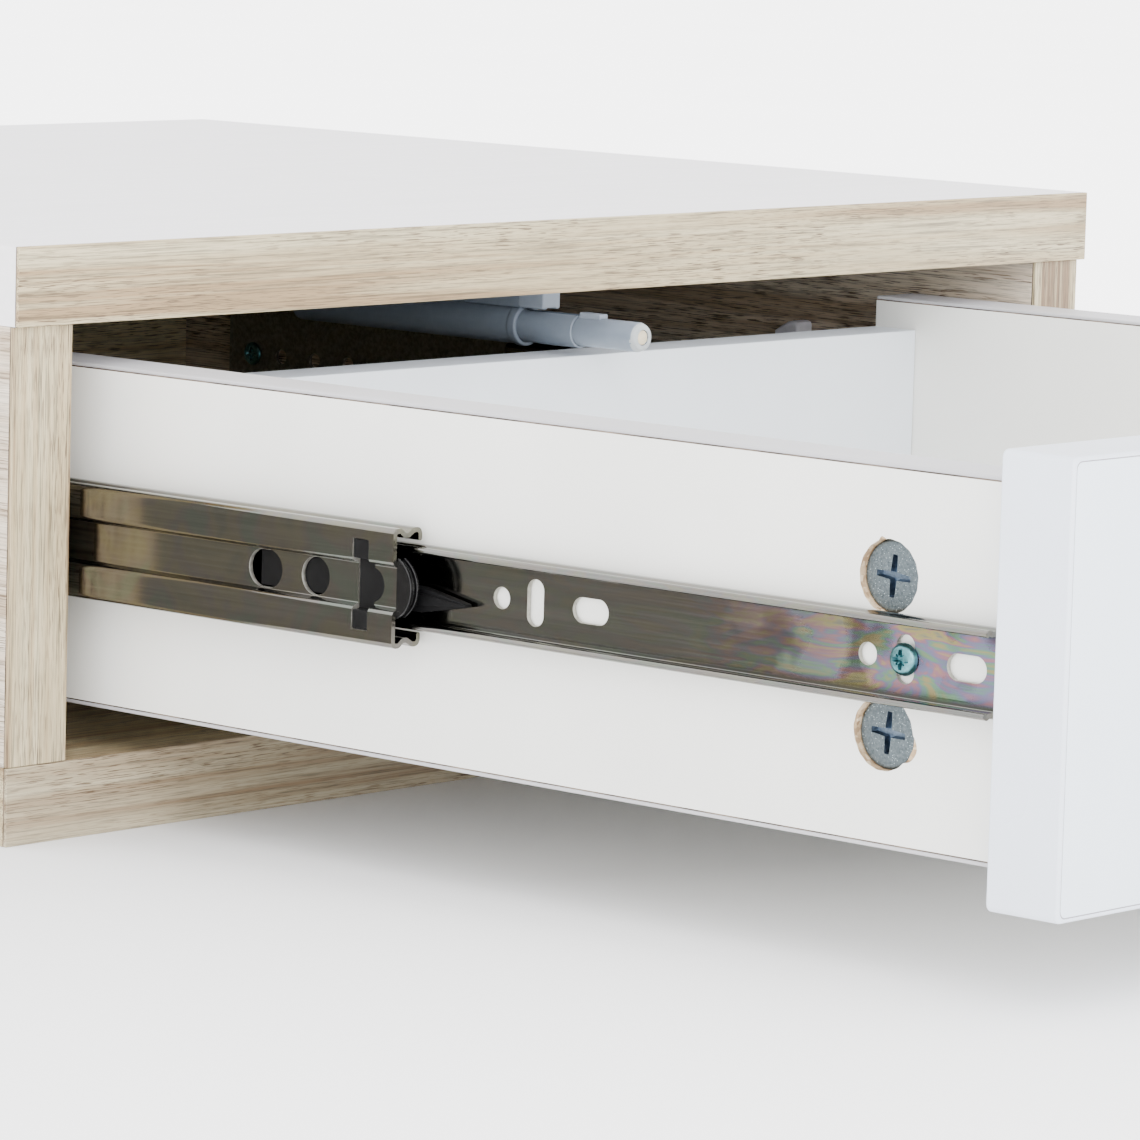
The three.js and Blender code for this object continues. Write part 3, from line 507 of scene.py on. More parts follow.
class Paint:
    """A material and its nodes. Its coordinates are the row's, in millimetres."""

    def __init__(self, name, roughness=0.5, metallic=0.0, **settings):
        self.material = bpy.data.materials.new(name)
        self.material.use_nodes = True
        self.tree = self.material.node_tree
        self.shader = self.tree.nodes["Principled BSDF"]
        self.set("Roughness", roughness)
        self.set("Metallic", metallic)
        for key, value in settings.items():
            self.set(key.replace("_", " "), value)
        coordinates = self.tree.nodes.new("ShaderNodeTexCoord")
        inputs = {"Vector": coordinates.outputs["Object"], "Scale": 1 / MM}
        self.place = self.node("ShaderNodeVectorMath", inputs, operation="SCALE").outputs["Vector"]

    def set(self, socket, value):
        if isinstance(value, tuple) and len(value) == 3:
            value = (*value, 1)
        if isinstance(value, bpy.types.NodeSocket):
            self.tree.links.new(value, self.shader.inputs[socket])
        else:
            self.shader.inputs[socket].default_value = value

    def node(self, kind, inputs, **settings):
        made = self.tree.nodes.new(kind)
        for key, value in settings.items():
            setattr(made, key, value)
        for key, value in inputs.items():
            if isinstance(value, bpy.types.NodeSocket):
                self.tree.links.new(value, made.inputs[key])
            else:
                made.inputs[key].default_value = value
        return made

    def stretched(self, scale, shift=(0.0, 0.0, 0.0)):
        """The coordinates scaled by axis, for grain that runs along one of them."""
        inputs = {"Vector": self.place, "Scale": scale, "Location": shift}
        return self.node("ShaderNodeMapping", inputs).outputs["Vector"]

    def noise(self, where, scale, detail, roughness=0.55, distortion=0.0):
        grain = {"Scale": scale, "Detail": detail, "Roughness": roughness, "Distortion": distortion}
        return self.node("ShaderNodeTexNoise", {"Vector": where, **grain}).outputs["Fac"]

    def ramp(self, value, stops):
        """A colour ramp: stops are (position, colour or grey)."""
        made = self.node("ShaderNodeValToRGB", {"Fac": value})
        elements = made.color_ramp.elements
        while len(elements) < len(stops):
            elements.new(0.5)
        for element, (position, colour) in zip(elements, stops):
            element.position = position
            element.color = (*(colour if isinstance(colour, tuple) else [colour] * 3), 1)
        return made.outputs["Color"]

    def tints(self, value, *stops):
        """A colour ramp whose stops are (position, display colour)."""
        return self.ramp(value, [(position, colour(*shown)) for position, shown in stops])

    def mapped(self, value, low, high, at_low, at_high):
        """The value carried from one range to another, held at the range's ends."""
        ranges = {"From Min": low, "From Max": high, "To Min": at_low, "To Max": at_high}
        return self.node("ShaderNodeMapRange", {"Value": value, **ranges}).outputs["Result"]

    def mix(self, amount, a, b, blend="MIX"):
        made = self.node("ShaderNodeMix", {}, data_type="RGBA", blend_type=blend)
        for socket, value in ((made.inputs[0], amount), (made.inputs[6], a), (made.inputs[7], b)):
            if isinstance(value, bpy.types.NodeSocket):
                self.tree.links.new(value, socket)
            elif isinstance(value, tuple):
                socket.default_value = (*value, 1)
            else:
                socket.default_value = value
        return made.outputs[2]

    def bump(self, height, strength, distance_mm):
        inputs = {"Height": height, "Strength": strength, "Distance": distance_mm * MM}
        self.set("Normal", self.node("ShaderNodeBump", inputs).outputs["Normal"])
        return self


def colour(red, green, blue):
    """A display colour, 0 to 255, as the linear colour a shader takes."""
    return tuple(
        (c / 255 / 12.92) if c <= 10 else ((c / 255 + 0.055) / 1.055) ** 2.4
        for c in (red, green, blue)
    )


def shifted(tint, by):
    """A display colour made lighter, or darker where by is negative."""
    return tuple(max(c + by, 0) for c in tint)


def grain_scale(axis, along):
    return tuple(along if name == axis else 1.0 for name in "xyz")


OAK_TONES = {"pale": (194, 181, 148), "base": (180, 163, 128), "dark": (152, 128, 94)}


def oak(name, axis, shift, deep=0.52, **tones):
    """Oak-effect laminate: broad pale and brown bands, fine streaks and short dark pores."""
    tones = {**OAK_TONES, **tones}
    paint = Paint(name, roughness=0.46)
    broad = paint.noise(paint.stretched(grain_scale(axis, 0.018), shift), 0.22, 3.0, 0.6, 0.3)
    fine = paint.noise(paint.stretched(grain_scale(axis, 0.016), shift), 2.2, 4.0, 0.7)
    pore = paint.noise(paint.stretched(grain_scale(axis, 0.032), shift), 4.0, 2.0, 0.5)
    patch = paint.noise(paint.stretched(grain_scale(axis, 0.1), shift), 0.11, 1.0)
    body = paint.tints(broad, (0.36, tones["dark"]), (0.47, tones["base"]), (0.62, tones["pale"]))
    streaks = paint.ramp(fine, [(0.37, deep), (0.49, 0.97), (0.66, 1.12)])
    tinted = paint.mix(1.0, body, streaks, "MULTIPLY")
    pores = paint.ramp(pore, [(0.552, 0.0), (0.61, 0.92)])
    where = paint.ramp(patch, [(0.38, 0.3), (0.58, 1.0)])
    marks = paint.mix(1.0, pores, where, "MULTIPLY")
    paint.set("Base Color", paint.mix(marks, tinted, colour(84, 64, 46)))
    return paint.bump(pore, 0.12, 0.15).material


def white_laminate(name, tint, grain=None, roughness=0.42):
    """Smooth laminate: a faint cloudiness, faint streaks along the grain, and a fine pebble."""
    paint = Paint(name, roughness=roughness)
    scale = grain_scale(grain, 0.03) if grain else (1.0, 1.0, 1.0)
    cloud = paint.noise(paint.stretched(scale), 0.5 if grain else 0.02, 3.0)
    paint.set("Base Color", paint.tints(cloud, (0.35, shifted(tint, -5)), (0.65, tint)))
    sheen = paint.noise(paint.place, 0.06, 2.0)
    paint.set("Roughness", paint.ramp(sheen, [(0.3, roughness - 0.04), (0.7, roughness + 0.06)]))
    return paint.bump(paint.noise(paint.place, 2.2, 2.0), 0.10, 0.05).material


def rolled_zinc(name):
    """Zinc-plated sheet with faint rolling lines, and those lines' noise."""
    paint = Paint(name, metallic=1.0)
    rolled = paint.noise(paint.stretched((1.0, 0.012, 1.0)), 1.3, 4.0, 0.65)
    grey = paint.tints(rolled, (0.3, (98, 98, 92)), (0.7, (120, 120, 114)))
    return paint, rolled, grey


def zinc_sheet():
    """The sheet of the outer and middle members, with a faint colour bloom."""
    paint, rolled, grey = rolled_zinc("zinc_sheet")
    clouds = paint.noise(paint.place, 0.055, 3.0, 0.6, 0.8)
    bloom = paint.tints(
        clouds,
        (0.36, (102, 102, 94)),
        (0.46, (122, 116, 94)),
        (0.54, (112, 102, 104)),
        (0.62, (98, 112, 104)),
    )
    paint.set("Base Color", paint.mix(0.35, grey, bloom))
    paint.set("Roughness", paint.ramp(rolled, [(0.3, 0.10), (0.75, 0.18)]))
    return paint.bump(rolled, 0.03, 0.1).material


def zinc_front():
    """The inner member's sheet. The passivation is cloudy and many-coloured at its front end."""
    paint, rolled, grey = rolled_zinc("zinc_sheet_front")
    flow = paint.noise(paint.stretched((1.0, 0.35, 1.3)), 0.13, 3.0, 0.55, 1.6)
    bloom = paint.tints(
        flow,
        (0.30, (118, 118, 110)),
        (0.38, (156, 148, 92)),
        (0.46, (150, 106, 116)),
        (0.52, (110, 110, 142)),
        (0.58, (100, 140, 112)),
        (0.66, (146, 136, 96)),
    )
    split = paint.node("ShaderNodeSeparateXYZ", {"Vector": paint.place}).outputs
    front = INNER_FRONT + ORIGIN.y
    frontal = paint.mapped(split["Y"], front + 22, front + 85, 1.0, 0.0)
    middle = {0: split["Z"], 1: SLIDE_Z + ORIGIN.z}
    from_middle = paint.node("ShaderNodeMath", middle, operation="SUBTRACT").outputs[0]
    height = paint.node("ShaderNodeMath", {0: from_middle}, operation="ABSOLUTE").outputs[0]
    near = paint.mix(1.0, frontal, paint.mapped(height, 6.6, 7.6, 1.0, 0.0), "MULTIPLY")
    patches = paint.ramp(paint.noise(paint.place, 0.075, 2.0, 0.5, 0.4), [(0.42, 0.0), (0.56, 1.0)])
    cloudy = paint.mix(1.0, near, patches, "MULTIPLY")
    share = paint.mix(near, (0.08, 0.08, 0.08), (0.85, 0.85, 0.85))
    paint.set("Base Color", paint.mix(share, grey, bloom))
    smooth = paint.ramp(rolled, [(0.3, 0.09), (0.75, 0.16)])
    paint.set("Roughness", paint.mix(cloudy, smooth, (0.42, 0.42, 0.42)))
    return paint.bump(rolled, 0.03, 0.1).material


def die_cast():
    """Rough die-cast zinc with bright specks."""
    paint = Paint("die_cast_zinc", metallic=0.85)
    pits = paint.noise(paint.place, 1.6, 4.0, 0.7)
    cells = paint.node("ShaderNodeTexVoronoi", {"Vector": paint.place, "Scale": 1.9}, feature="F1")
    specks = paint.ramp(cells.outputs["Distance"], [(0.08, 1.0), (0.2, 0.0)])
    body = paint.tints(pits, (0.3, (72, 82, 87)), (0.7, (116, 126, 130)))
    paint.set("Base Color", paint.mix(specks, body, colour(205, 222, 228)))
    paint.set("Roughness", paint.ramp(pits, [(0.35, 0.38), (0.7, 0.6)]))
    return paint.bump(pits, 0.55, 0.35).material


def plated(name, base, roughness):
    """Smooth plated screws and balls, lightly scuffed."""
    paint = Paint(name, metallic=1.0)
    scuffs = paint.noise(paint.place, 1.1, 3.0)
    paint.set("Base Color", paint.tints(scuffs, (0.35, shifted(base, -28)), (0.65, base)))
    paint.set("Roughness", paint.ramp(scuffs, [(0.3, roughness), (0.7, roughness + 0.15)]))
    return paint.bump(scuffs, 0.08, 0.1).material


def moulded(name, base, roughness, spread=8, bump=0.1, shine=0.5):
    """Moulded plastic with a slight cloudiness and a fine spark-eroded texture."""
    paint = Paint(name, Specular_IOR_Level=shine)
    cloud = paint.noise(paint.place, 0.35, 3.0)
    low, high = shifted(base, -spread), shifted(base, spread)
    paint.set("Base Color", paint.tints(cloud, (0.35, low), (0.65, high)))
    paint.set("Roughness", paint.ramp(cloud, [(0.3, roughness - 0.05), (0.7, roughness + 0.08)]))
    return paint.bump(paint.noise(paint.place, 3.5, 2.0), bump, 0.05).material


def chipboard():
    """Cut chipboard: tan flakes with darker gaps."""
    paint = Paint("chipboard", roughness=0.85)
    inputs = {"Vector": paint.stretched((1.0, 0.5, 1.0)), "Scale": 1.1}
    flakes = paint.noise(paint.node("ShaderNodeTexVoronoi", inputs).outputs["Color"], 3.0, 1.0)
    tint = paint.tints(flakes, (0.3, (150, 122, 92)), (0.5, (188, 162, 128)), (0.7, (214, 194, 164)))
    paint.set("Base Color", tint)
    return paint.bump(paint.noise(paint.place, 2.0, 3.0), 0.5, 0.4).material


def glue_line():
    """The brown line between a board and its edge band, thicker in some places than in others."""
    paint = Paint("glue_line", roughness=0.7)
    along = paint.noise(paint.place, 0.12, 3.0)
    paint.set("Base Color", paint.tints(along, (0.42, (62, 50, 40)), (0.68, (136, 120, 104))))
    return paint.bump(along, 0.2, 0.1).material


def beech():
    paint = Paint("beech", roughness=0.65)
    fibre = paint.noise(paint.stretched((1.0, 1.0, 0.04)), 1.4, 3.0)
    paint.set("Base Color", paint.tints(fibre, (0.35, (190, 150, 104)), (0.65, (222, 190, 146))))
    return paint.bump(fibre, 0.2, 0.1).material


OAK_BAND_X = oak("oak_band_along_x", "x", (0.0, 0.0, 3.0))
LOW_TONES = {"pale": (176, 164, 138), "base": (160, 146, 120), "dark": (134, 113, 88)}
# The divider's and right panel's faces take a lighter, greyer copy of the oak than the other boards:
# painted light that lifts the shade on the right panel's inner face inside the compartment.
FACE_TONES_PAINTED_LIGHT = {"pale": (214, 202, 184), "base": (204, 188, 168), "dark": (178, 158, 134)}
OAK_BAND_LOW = oak("oak_band_low", "x", (40.0, 0.0, 17.0), **LOW_TONES)
OAK_BAND_Z = oak("oak_band_along_z", "z", (5.0, 0.0, 0.0), dark=(128, 102, 74), deep=0.3)
OAK_FACE_Y_PAINTED_LIGHT = oak("oak_face_along_y_painted_light", "y", (0.0, 0.0, 8.0), **FACE_TONES_PAINTED_LIGHT)
OAK_FACE_X = oak("oak_face_along_x", "x", (0.0, 0.0, 21.0))
DESK_TOP = white_laminate("desk_top_white", (236, 234, 236), grain="x", roughness=0.4)
SIDE_WHITE = white_laminate("side_white", (235, 235, 230))
FRONT_WHITE = white_laminate("front_white", (226, 236, 246), roughness=0.34)
BACK_WHITE = white_laminate("back_white", (228, 234, 241))
BAND_WHITE = white_laminate("band_white", (220, 227, 238), roughness=0.3)
# The drawer sides' top and bottom edge bands are painted grey: painted shade for edges that the light
# reaches only at a grazing angle.
SIDE_EDGE_SHADE_GREY = white_laminate("side_edge_band_painted_shade", (180, 179, 182), roughness=0.4)
BASE_WHITE = white_laminate("base_white", (226, 225, 220), roughness=0.5)
ZINC = zinc_sheet()
ZINC_FRONT = zinc_front()
ZINC_DULL = plated("zinc_dull", (158, 158, 152), 0.42)
CAM_ZINC = die_cast()
SCREW_ZINC = plated("screw_zinc", (104, 152, 158), 0.26)
# The chamfered rims of the rails' holes and the clip's window take a pale steel, well above the sheet's
# grey: a painted highlight along the rims.
RIM_HIGHLIGHT_STEEL = plated("hole_rim_painted_highlight", (190, 188, 180), 0.5)
STEEL_BRIGHT = plated("bright_steel", (205, 205, 202), 0.1)
CAGE_STEEL = plated("cage_steel", (92, 90, 86), 0.42)
BLACK = moulded("black_plastic", (11, 11, 12), 0.5, spread=2, shine=0.15)
BLACK_GLOSS = moulded("black_plastic_gloss", (11, 11, 12), 0.2, spread=2, bump=0.04, shine=0.3)
GREY = moulded("grey_plastic", (122, 132, 145), 0.42, spread=2)
PALE_GREY = moulded("pale_grey_plastic", (146, 155, 168), 0.4, spread=2)
PLUNGER_TIP = moulded("plunger_tip", (164, 169, 171), 0.32)
PAD = moulded("cream_pad", (206, 192, 164), 0.45)
WHITE_PLASTIC = moulded("white_plastic", (226, 226, 234), 0.4, spread=5)
CHIPBOARD = chipboard()
CAM_RECESS_STEEL = plated("cam_recess", (112, 126, 142), 0.3)
FRONT_SEAM = moulded("front_seam", (146, 143, 148), 0.6, spread=6)
GLUE_BROWN = glue_line()
BEECH = beech()

# ---- boards -----------------------------------------------------------------------------------


def plain_board(name, node, body, material, round_off, segments=3):
    low, high = drawn_box(node)
    block = rounded_box(low, high, round_off, segments)
    piece(name, block, body, [material], replaces=[node])


def slice_of(low, high, side, near, far, inset):
    """The slice of a box between two depths below one of its faces, drawn in across by inset."""
    part_low, part_high = low.copy(), high.copy()
    for axis in range(3):
        if axis != "xyz".index(side[1]):
            part_low[axis] += inset
            part_high[axis] -= inset
        elif side[0] == "-":
            part_low[axis], part_high[axis] = low[axis] + near, low[axis] + far
        else:
            part_low[axis], part_high[axis] = high[axis] - far, high[axis] - near
    return part_low, part_high


def banded_board(name, body, core, bands, band, round_off=0.3, cuts=None):
    """A board with edge bands, each laid on with a glue line. bands names the banded sides."""
    low, high = drawn_box(name)
    core_low, core_high = low.copy(), high.copy()
    for side in bands:
        axis = "xyz".index(side[1])
        if side[0] == "-":
            core_low[axis] += BAND + GLUE
        else:
            core_high[axis] -= BAND + GLUE
    shape = rounded_box(core_low, core_high, 0.12, 2)
    if cuts:
        shape = carve(shape, cuts)
    piece(f"{name}_board", shape, body, core, replaces=[name])
    for side in bands:
        strip = rounded_box(*slice_of(low, high, side, 0, BAND, 0), round_off)
        piece(f"{name}_{SIDE_NAMES[side]}_band", strip, body, [band])
        glue = rounded_box(*slice_of(low, high, side, BAND, BAND + GLUE, GLUE_INSET), 0)
        piece(f"{name}_{SIDE_NAMES[side]}_glue", glue, body, [GLUE_BROWN])


def build_compartment():
    for name, slot, face, band in (
        ("top_panel", "desk_top_laminate", DESK_TOP, OAK_BAND_X),
        ("bottom_panel", "oak_laminate", OAK_FACE_X, OAK_BAND_LOW),
        ("left_divider", "oak_laminate", OAK_FACE_Y_PAINTED_LIGHT, OAK_BAND_Z),
        ("right_side_panel", "oak_laminate", OAK_FACE_Y_PAINTED_LIGHT, OAK_BAND_Z),
    ):
        banded_board(name, "housing", [face], ["-y"], band)
    plain_board("back_board", "back_panel", "housing", OAK_FACE_X, 0.2, 2)
    build_side_guide()


def build_side_guide():
    """The wedge on the right panel that keeps the drawer centred, its inner face rounded off."""
    tip = span("right_side_guide", "x")[0]
    rings = [(OPENING_WIDTH - 0.15, 0.0)]
    rings += [(tip + 1.2, 0.0), (tip + 0.5, 0.25), (tip + 0.15, 0.6), (tip, 1.1)]
    y_middle, z_middle = GUIDE_MIDDLE

    def ring(x, shrink):
        share = 1 - shrink / 5
        return [
            (x, y_middle + (y - y_middle) * share, z_middle + (z - z_middle) * share)
            for y, z in GUIDE_OUTLINE
        ]

    guide = loft([ring(x, shrink) for x, shrink in rings])
    replaced = ["right_side_guide"]
    piece("side_guide", guide, "housing", [WHITE_PLASTIC], replaces=replaced)


# ---- slides -----------------------------------------------------------------------------------


def outer_rail():
    rail = bent_sheet(OUTER_HALF, STEEL, OUTER_FRONT, OUTER_REAR)
    flare = 0.15
    holes = [opening(round_outline(2.2), OUTER_FRONT + d, OUTER_WEB, flare) for d in OUTER_HOLES]
    holes.append(opening(slot_outline(*SCREW_SLOT, "y"), OUTER_FRONT + OUTER_SLOT, OUTER_WEB, flare))
    return carve(rail, tools_of(holes))


def mid_rail():
    rail = bent_sheet(MID_HALF, STEEL, MID_FRONT, MID_REAR, bend=0.8)
    stop_slot, screw_slot = slot_outline(*STOP_SLOT, "y"), slot_outline(*SCREW_SLOT, "y")
    holes = [
        straight_opening(clip_outline, CLIP_FRONT, 1, 5.45),
        opening(round_outline(4.2), MID_FRONT + MID_HOLE["round"], MID_WEB, 0.3),
        opening(stop_slot, MID_FRONT + MID_HOLE["level"], MID_WEB, 0.3),
        opening(stop_slot, MID_REAR - MID_REAR_HOLE["stop"], MID_WEB, 0.2),
        opening(screw_slot, MID_REAR - MID_REAR_HOLE["screw"], MID_WEB, 0.2),
    ]
    return carve(rail, tools_of(holes))


def inner_rail():
    rail = bent_sheet(INNER_HALF, STEEL, INNER_FRONT, INNER_REAR)
    outlines = {
        "level": slot_outline(5.4, 10, "y"),
        "upright": slot_outline(4.6, 10, "z"),
        "round": round_outline(2.3),
    }
    holes = []
    for start, way in ((INNER_FRONT, 1), (INNER_FRONT + SECOND_GROUP_SHIFT, 1), (INNER_REAR, -1)):
        for kind, outline in outlines.items():
            holes.append(opening(outline, start + way * HOLE_GROUP[kind], INNER_WEB, 0.2))
    return carve(rail, tools_of(holes))


def ball(centre, radius):
    x, y, z = centre
    sides, rows, pole = 20, 12, 0.02
    tilts = [math.pi * k / rows for k in range(rows + 1)]
    profile = [(z + radius * math.cos(t), max(radius * math.sin(t), pole)) for t in tilts]
    return turned(profile, "z", (x, y), sides)


def cage(half, track, low, high):
    """A cage strip with a window in its web, and its rows of balls."""
    strip = bent_sheet(half, CAGE_SHEET, low, high, bend=0.8)
    (near, far), reach = track["window"], track["window_half"]
    window = rounded_box((near, low + CAGE_END, -reach), (far, high - CAGE_END, reach), 1.5)
    strip = carve(strip, window)
    step = (high - low) / BALLS_IN_A_ROW
    for i in range(BALLS_IN_A_ROW):
        for side in (1, -1):
            centre = (track["x"], low + step * (i + 0.5), side * track["z"])
            strip.add(ball(centre, track["ball"]).marked(1))
    return strip


def buffer_outline(grow):
    """The buffer's arc, flat behind: y and z from the buffer's own centre."""
    spread, steps = 1.14, 24
    radius = BUFFER_RADIUS + grow
    rear = -0.15 - min(grow, 0)
    points = []
    for k in range(steps + 1):
        t = -spread + 2 * spread * k / steps
        y = BUFFER_RADIUS - BUFFER_REACH - radius * math.cos(t)
        points.append((min(y, rear), radius * math.sin(t)))
    return points


def end_clip():
    """The clip's window part with its tabs, its strip behind the web, and the buffer in front."""
    back = 5.7
    clip = soft_prism(lambda g: clip_outline(g - CLIP_PLAY), (CLIP_FRONT, 0), 4.3, back, 0.2)
    for side in (1, -1):
        low_z, high_z = sorted((side * CLIP_TAB_LOW, side * (CLIP_HALF_HEIGHT - CLIP_PLAY)))
        tab_low = (2.2, CLIP_FRONT + CLIP_PLAY, low_z)
        tab_high = (back, CLIP_FRONT + CLIP_WIDTH - CLIP_PLAY, high_z)
        clip.add(rounded_box(tab_low, tab_high, 0.3))
    clip.add(rounded_box((5.5, MID_FRONT - 1, -STRIP_HALF), (6.1, CLIP_REAR, STRIP_HALF), 0.1, 1))
    for low, high, grow in BUFFER_LAYERS:
        layer = soft_prism(lambda g, k=grow: buffer_outline(g + k), (MID_FRONT, 0), low, high, 0.25)
        clip.add(layer.marked(1))
    return clip


def release_lever():
    """A long tapering finger on an eye, with a raised rib along it."""
    pivot_y, pivot_z = LEVER_PIVOT
    root, tip, point = 2.8, 0.5, 0.3

    def finger(grow):
        ends = [
            (pivot_y + 3 + grow, root + grow),
            (LEVER_TIP + LEVER_TAPER, root + grow),
            (LEVER_TIP + 0.6 - grow, tip + grow),
            (LEVER_TIP - grow, point),
        ]
        return ends + [(y, -z) for y, z in reversed(ends)]

    arm = soft_prism(finger, (0, pivot_z), 8.6, 10.6, 0.3)
    eye = soft_prism(round_outline(LEVER_EYE), (pivot_y, pivot_z), 7.2, 11.2, 0.3)
    rib = soft_prism(lambda g: [(y, z * 0.5) for y, z in finger(g)], (0, pivot_z), 8.3, 9.0, 0.15)
    return arm.add(eye).add(rib)


def cross_outline(reach, width, turn=0.0):
    """A slender cross, its arms narrowing outwards, as a function of how far it is grown."""

    def outline(grow):
        r, w, tip = reach + grow, width + grow * 0.4, width * 0.7 + grow * 0.4
        arm = [(r, -tip), (r, tip), (w, w)]
        points = []
        for k in range(4):
            c, d = math.cos(turn + k * math.pi / 2), math.sin(turn + k * math.pi / 2)
            points += [(c * y - d * z, d * y + c * z) for y, z in arm]
        return points

    return outline


def recess(outline, centre, face, depth, narrowing):
    """A cutter for a recess that narrows towards its floor, in a face that looks along -x."""
    y, z = centre
    rings = [(face - 1, 0.2), (face, 0.0), (face + depth, -narrowing)]
    return loft([[(x, y + a, z + b) for a, b in outline(grow)] for x, grow in rings])


def headed_screw(head, length):
    """A screw along x with its head's seat at 0 and the head towards -x, threaded behind."""
    radius, root = SCREW_HEAD_RADIUS, SCREW_SHAFT * 0.72
    profile = [(-head * share, radius * width) for share, width in HEAD_CURVE]
    profile += [(-0.08, radius), (0.0, radius - 0.1), (0.0, SCREW_SHAFT)]
    along = 0.8
    while along < length - 2.4:
        profile += [(along, root), (along + 0.45, SCREW_SHAFT), (along + 0.55, SCREW_SHAFT)]
        along += THREAD_PITCH
    profile += [(length - 1.8, root), (length, 0.15)]
    body = turned(profile, "x", (0.0, 0.0), 28)
    star = recess(cross_outline(1.5, 0.3, math.radians(45)), (0.0, 0.0), -head, head * 0.3, 0.15)
    cross = recess(cross_outline(2.1, 0.6), (0.0, 0.0), -head, head * 0.75, 0.5)
    return carve(carve(body, star), cross)


def build_slide(side):
    place = in_slide(side)
    mid_body = f"{side}_mid_rail"

    def add(name, shape, body, slot, materials, node):
        replaced = [f"{side}_{node}"]
        piece(f"{side}_{name}", shape.through(place), body, materials, replaces=replaced)

    add("outer_member", outer_rail(), "housing", "zinc_steel", [ZINC_DULL, RIM_HIGHLIGHT_STEEL], "outer_rail")
    add("middle_member", mid_rail(), mid_body, "zinc_steel", [ZINC, RIM_HIGHLIGHT_STEEL], "mid_rail")
    add("inner_member", inner_rail(), "drawer", "zinc_steel", [ZINC_FRONT, RIM_HIGHLIGHT_STEEL], "inner_rail")
    cages = {"outer": (OUTER_CAGE_HALF, OUTER_TRACK), "inner": (INNER_CAGE_HALF, INNER_TRACK)}
    for kind, (half, track) in cages.items():
        node = f"{kind}_ball_cage"
        strip = cage(half, track, *span(f"{side}_{node}"))
        steels = [CAGE_STEEL, STEEL_BRIGHT]
        add(f"{kind}_cage_strip", strip, f"{side}_{kind}_cage", "bearing_steel", steels, node)
    add("clip", end_clip(), mid_body, "black_plastic", [BLACK, BLACK_GLOSS], "end_clip")
    add("lever_finger", release_lever(), f"{side}_lever", "black_plastic", [BLACK], "release_lever")
    for end in ("front", "rear"):
        for member, body, seat, way, head, length in SLIDE_SCREWS:
            node = f"{member}_rail_{end}_screw"
            y = middle_of(f"{side}_{node}")
            screw = headed_screw(head, length).through(lambda p: (seat + way * p[0], y + p[1], p[2]))
            add(f"{member}_{end}_screw", screw, body, "zinc_steel", [SCREW_ZINC], node)


# ---- drawer box -------------------------------------------------------------------------------

def chipped_outline(radius, chips):
    """A bore's edge with break-outs in the laminate: chips are (degrees, reach, half width)."""
    sides, waviness = 96, 0.05

    def outline(grow):
        points = []
        for k in range(sides):
            t = 360 * k / sides
            r = radius + grow + waviness * math.sin(math.radians(17 * t))
            for centre, reach, half_width in chips:
                away = abs((t - centre + 180) % 360 - 180) / half_width
                r += reach * max(0.0, 1 - away**2)
            points.append((r * math.cos(math.radians(t)), r * math.sin(math.radians(t))))
        return points

    return outline


def side_cuts(side):
    """The side board's groove and bores, drawn for the left side and mirrored for the right."""
    front, rear = span("drawer_left_side")
    base_low, base_high = span("drawer_bottom", "z")
    groove_low = (SIDE_INSIDE - GROOVE_DEPTH, front - 1, base_low - GROOVE_PLAY)
    groove_high = (SIDE_INSIDE + 1, rear + 1, base_high + GROOVE_PLAY)
    tools = [rounded_box(groove_low, groove_high, 0)]
    clean = chipped_outline(CAM_BORE, [])(0.0)
    for where, z in CAM_Z.items():
        chipped = chipped_outline(CAM_BORE, CAM_CHIPS[where])
        rings = [
            (SIDE_FACE - 1, chipped(0.1)),
            (SIDE_FACE + 0.3, chipped(0.0)),
            (SIDE_FACE + 0.6, clean),
            (CAM_FACE + CAM_DEPTH + 0.15, clean),
        ]
        tools.append(loft([[(x, CAM_Y + a, z + b) for a, b in ring] for x, ring in rings]))
    for z in BACK_SCREW_Z:
        ends = [(SIDE_FACE - 1, BACK_SCREW_BORE), (SIDE_FACE + BACK_SCREW_SINK, BACK_SCREW_BORE)]
        tools.append(turned(ends, "x", (BACK_SCREW_Y, z), 32))
    cutter = tools_of(tools).marked(1)
    return facing_out(cutter.through(mirrored)) if side == "right" else cutter


def cam_lock(z):
    """The cam's disc with its rim eased and its cross recess."""
    face, radius, back = CAM_FACE, CAM_RADIUS, CAM_FACE + CAM_DEPTH
    profile = [
        (face, radius - 0.9),
        (face, radius - 0.5),
        (face + 0.12, radius - 0.18),
        (face + 0.4, radius),
        (back - 0.4, radius),
        (back, radius - 0.4),
    ]
    disc = turned(profile, "x", (CAM_Y, z), 56)
    cross = cross_outline(4.4, 0.85, math.radians(4))
    return carve(disc, recess(cross, (CAM_Y, z), face, CAM_RECESS_DEPTH, 0.55).marked(1))


def front_outline(inset):
    """The drawer front's outline in x and z, its corners rounded, drawn in by inset all round."""
    (left, right), (bottom, top) = span("drawer_front", "x"), span("drawer_front", "z")
    middle_x, middle_z = (left + right) / 2, (bottom + top) / 2
    share_x, share_z = 1 - inset / (right - middle_x), 1 - inset / (top - middle_z)
    r = FRONT_CORNER
    corners = [
        (right - r, top - r, 0),
        (left + r, top - r, 90),
        (left + r, bottom + r, 180),
        (right - r, bottom + r, 270),
    ]
    points = []
    for x, z, start in corners:
        for t in (0, 22.5, 45, 67.5, 90):
            away_x = x + r * math.cos(math.radians(start + t)) - middle_x
            away_z = z + r * math.sin(math.radians(start + t)) - middle_z
            points.append((middle_x + away_x * share_x, middle_z + away_z * share_z))
    return points


def front_loft(rings):
    """A body of the drawer front's outline: rings are (y, inset)."""
    return loft([[(x, y, z) for x, z in front_outline(inset)] for y, inset in rings])


def front_plate(inset, near, far, soften):
    """A plate of the drawer front's outline with its edges eased."""
    eased = inset + soften
    return front_loft([(near, eased), (near + soften, inset), (far - soften, inset), (far, eased)])


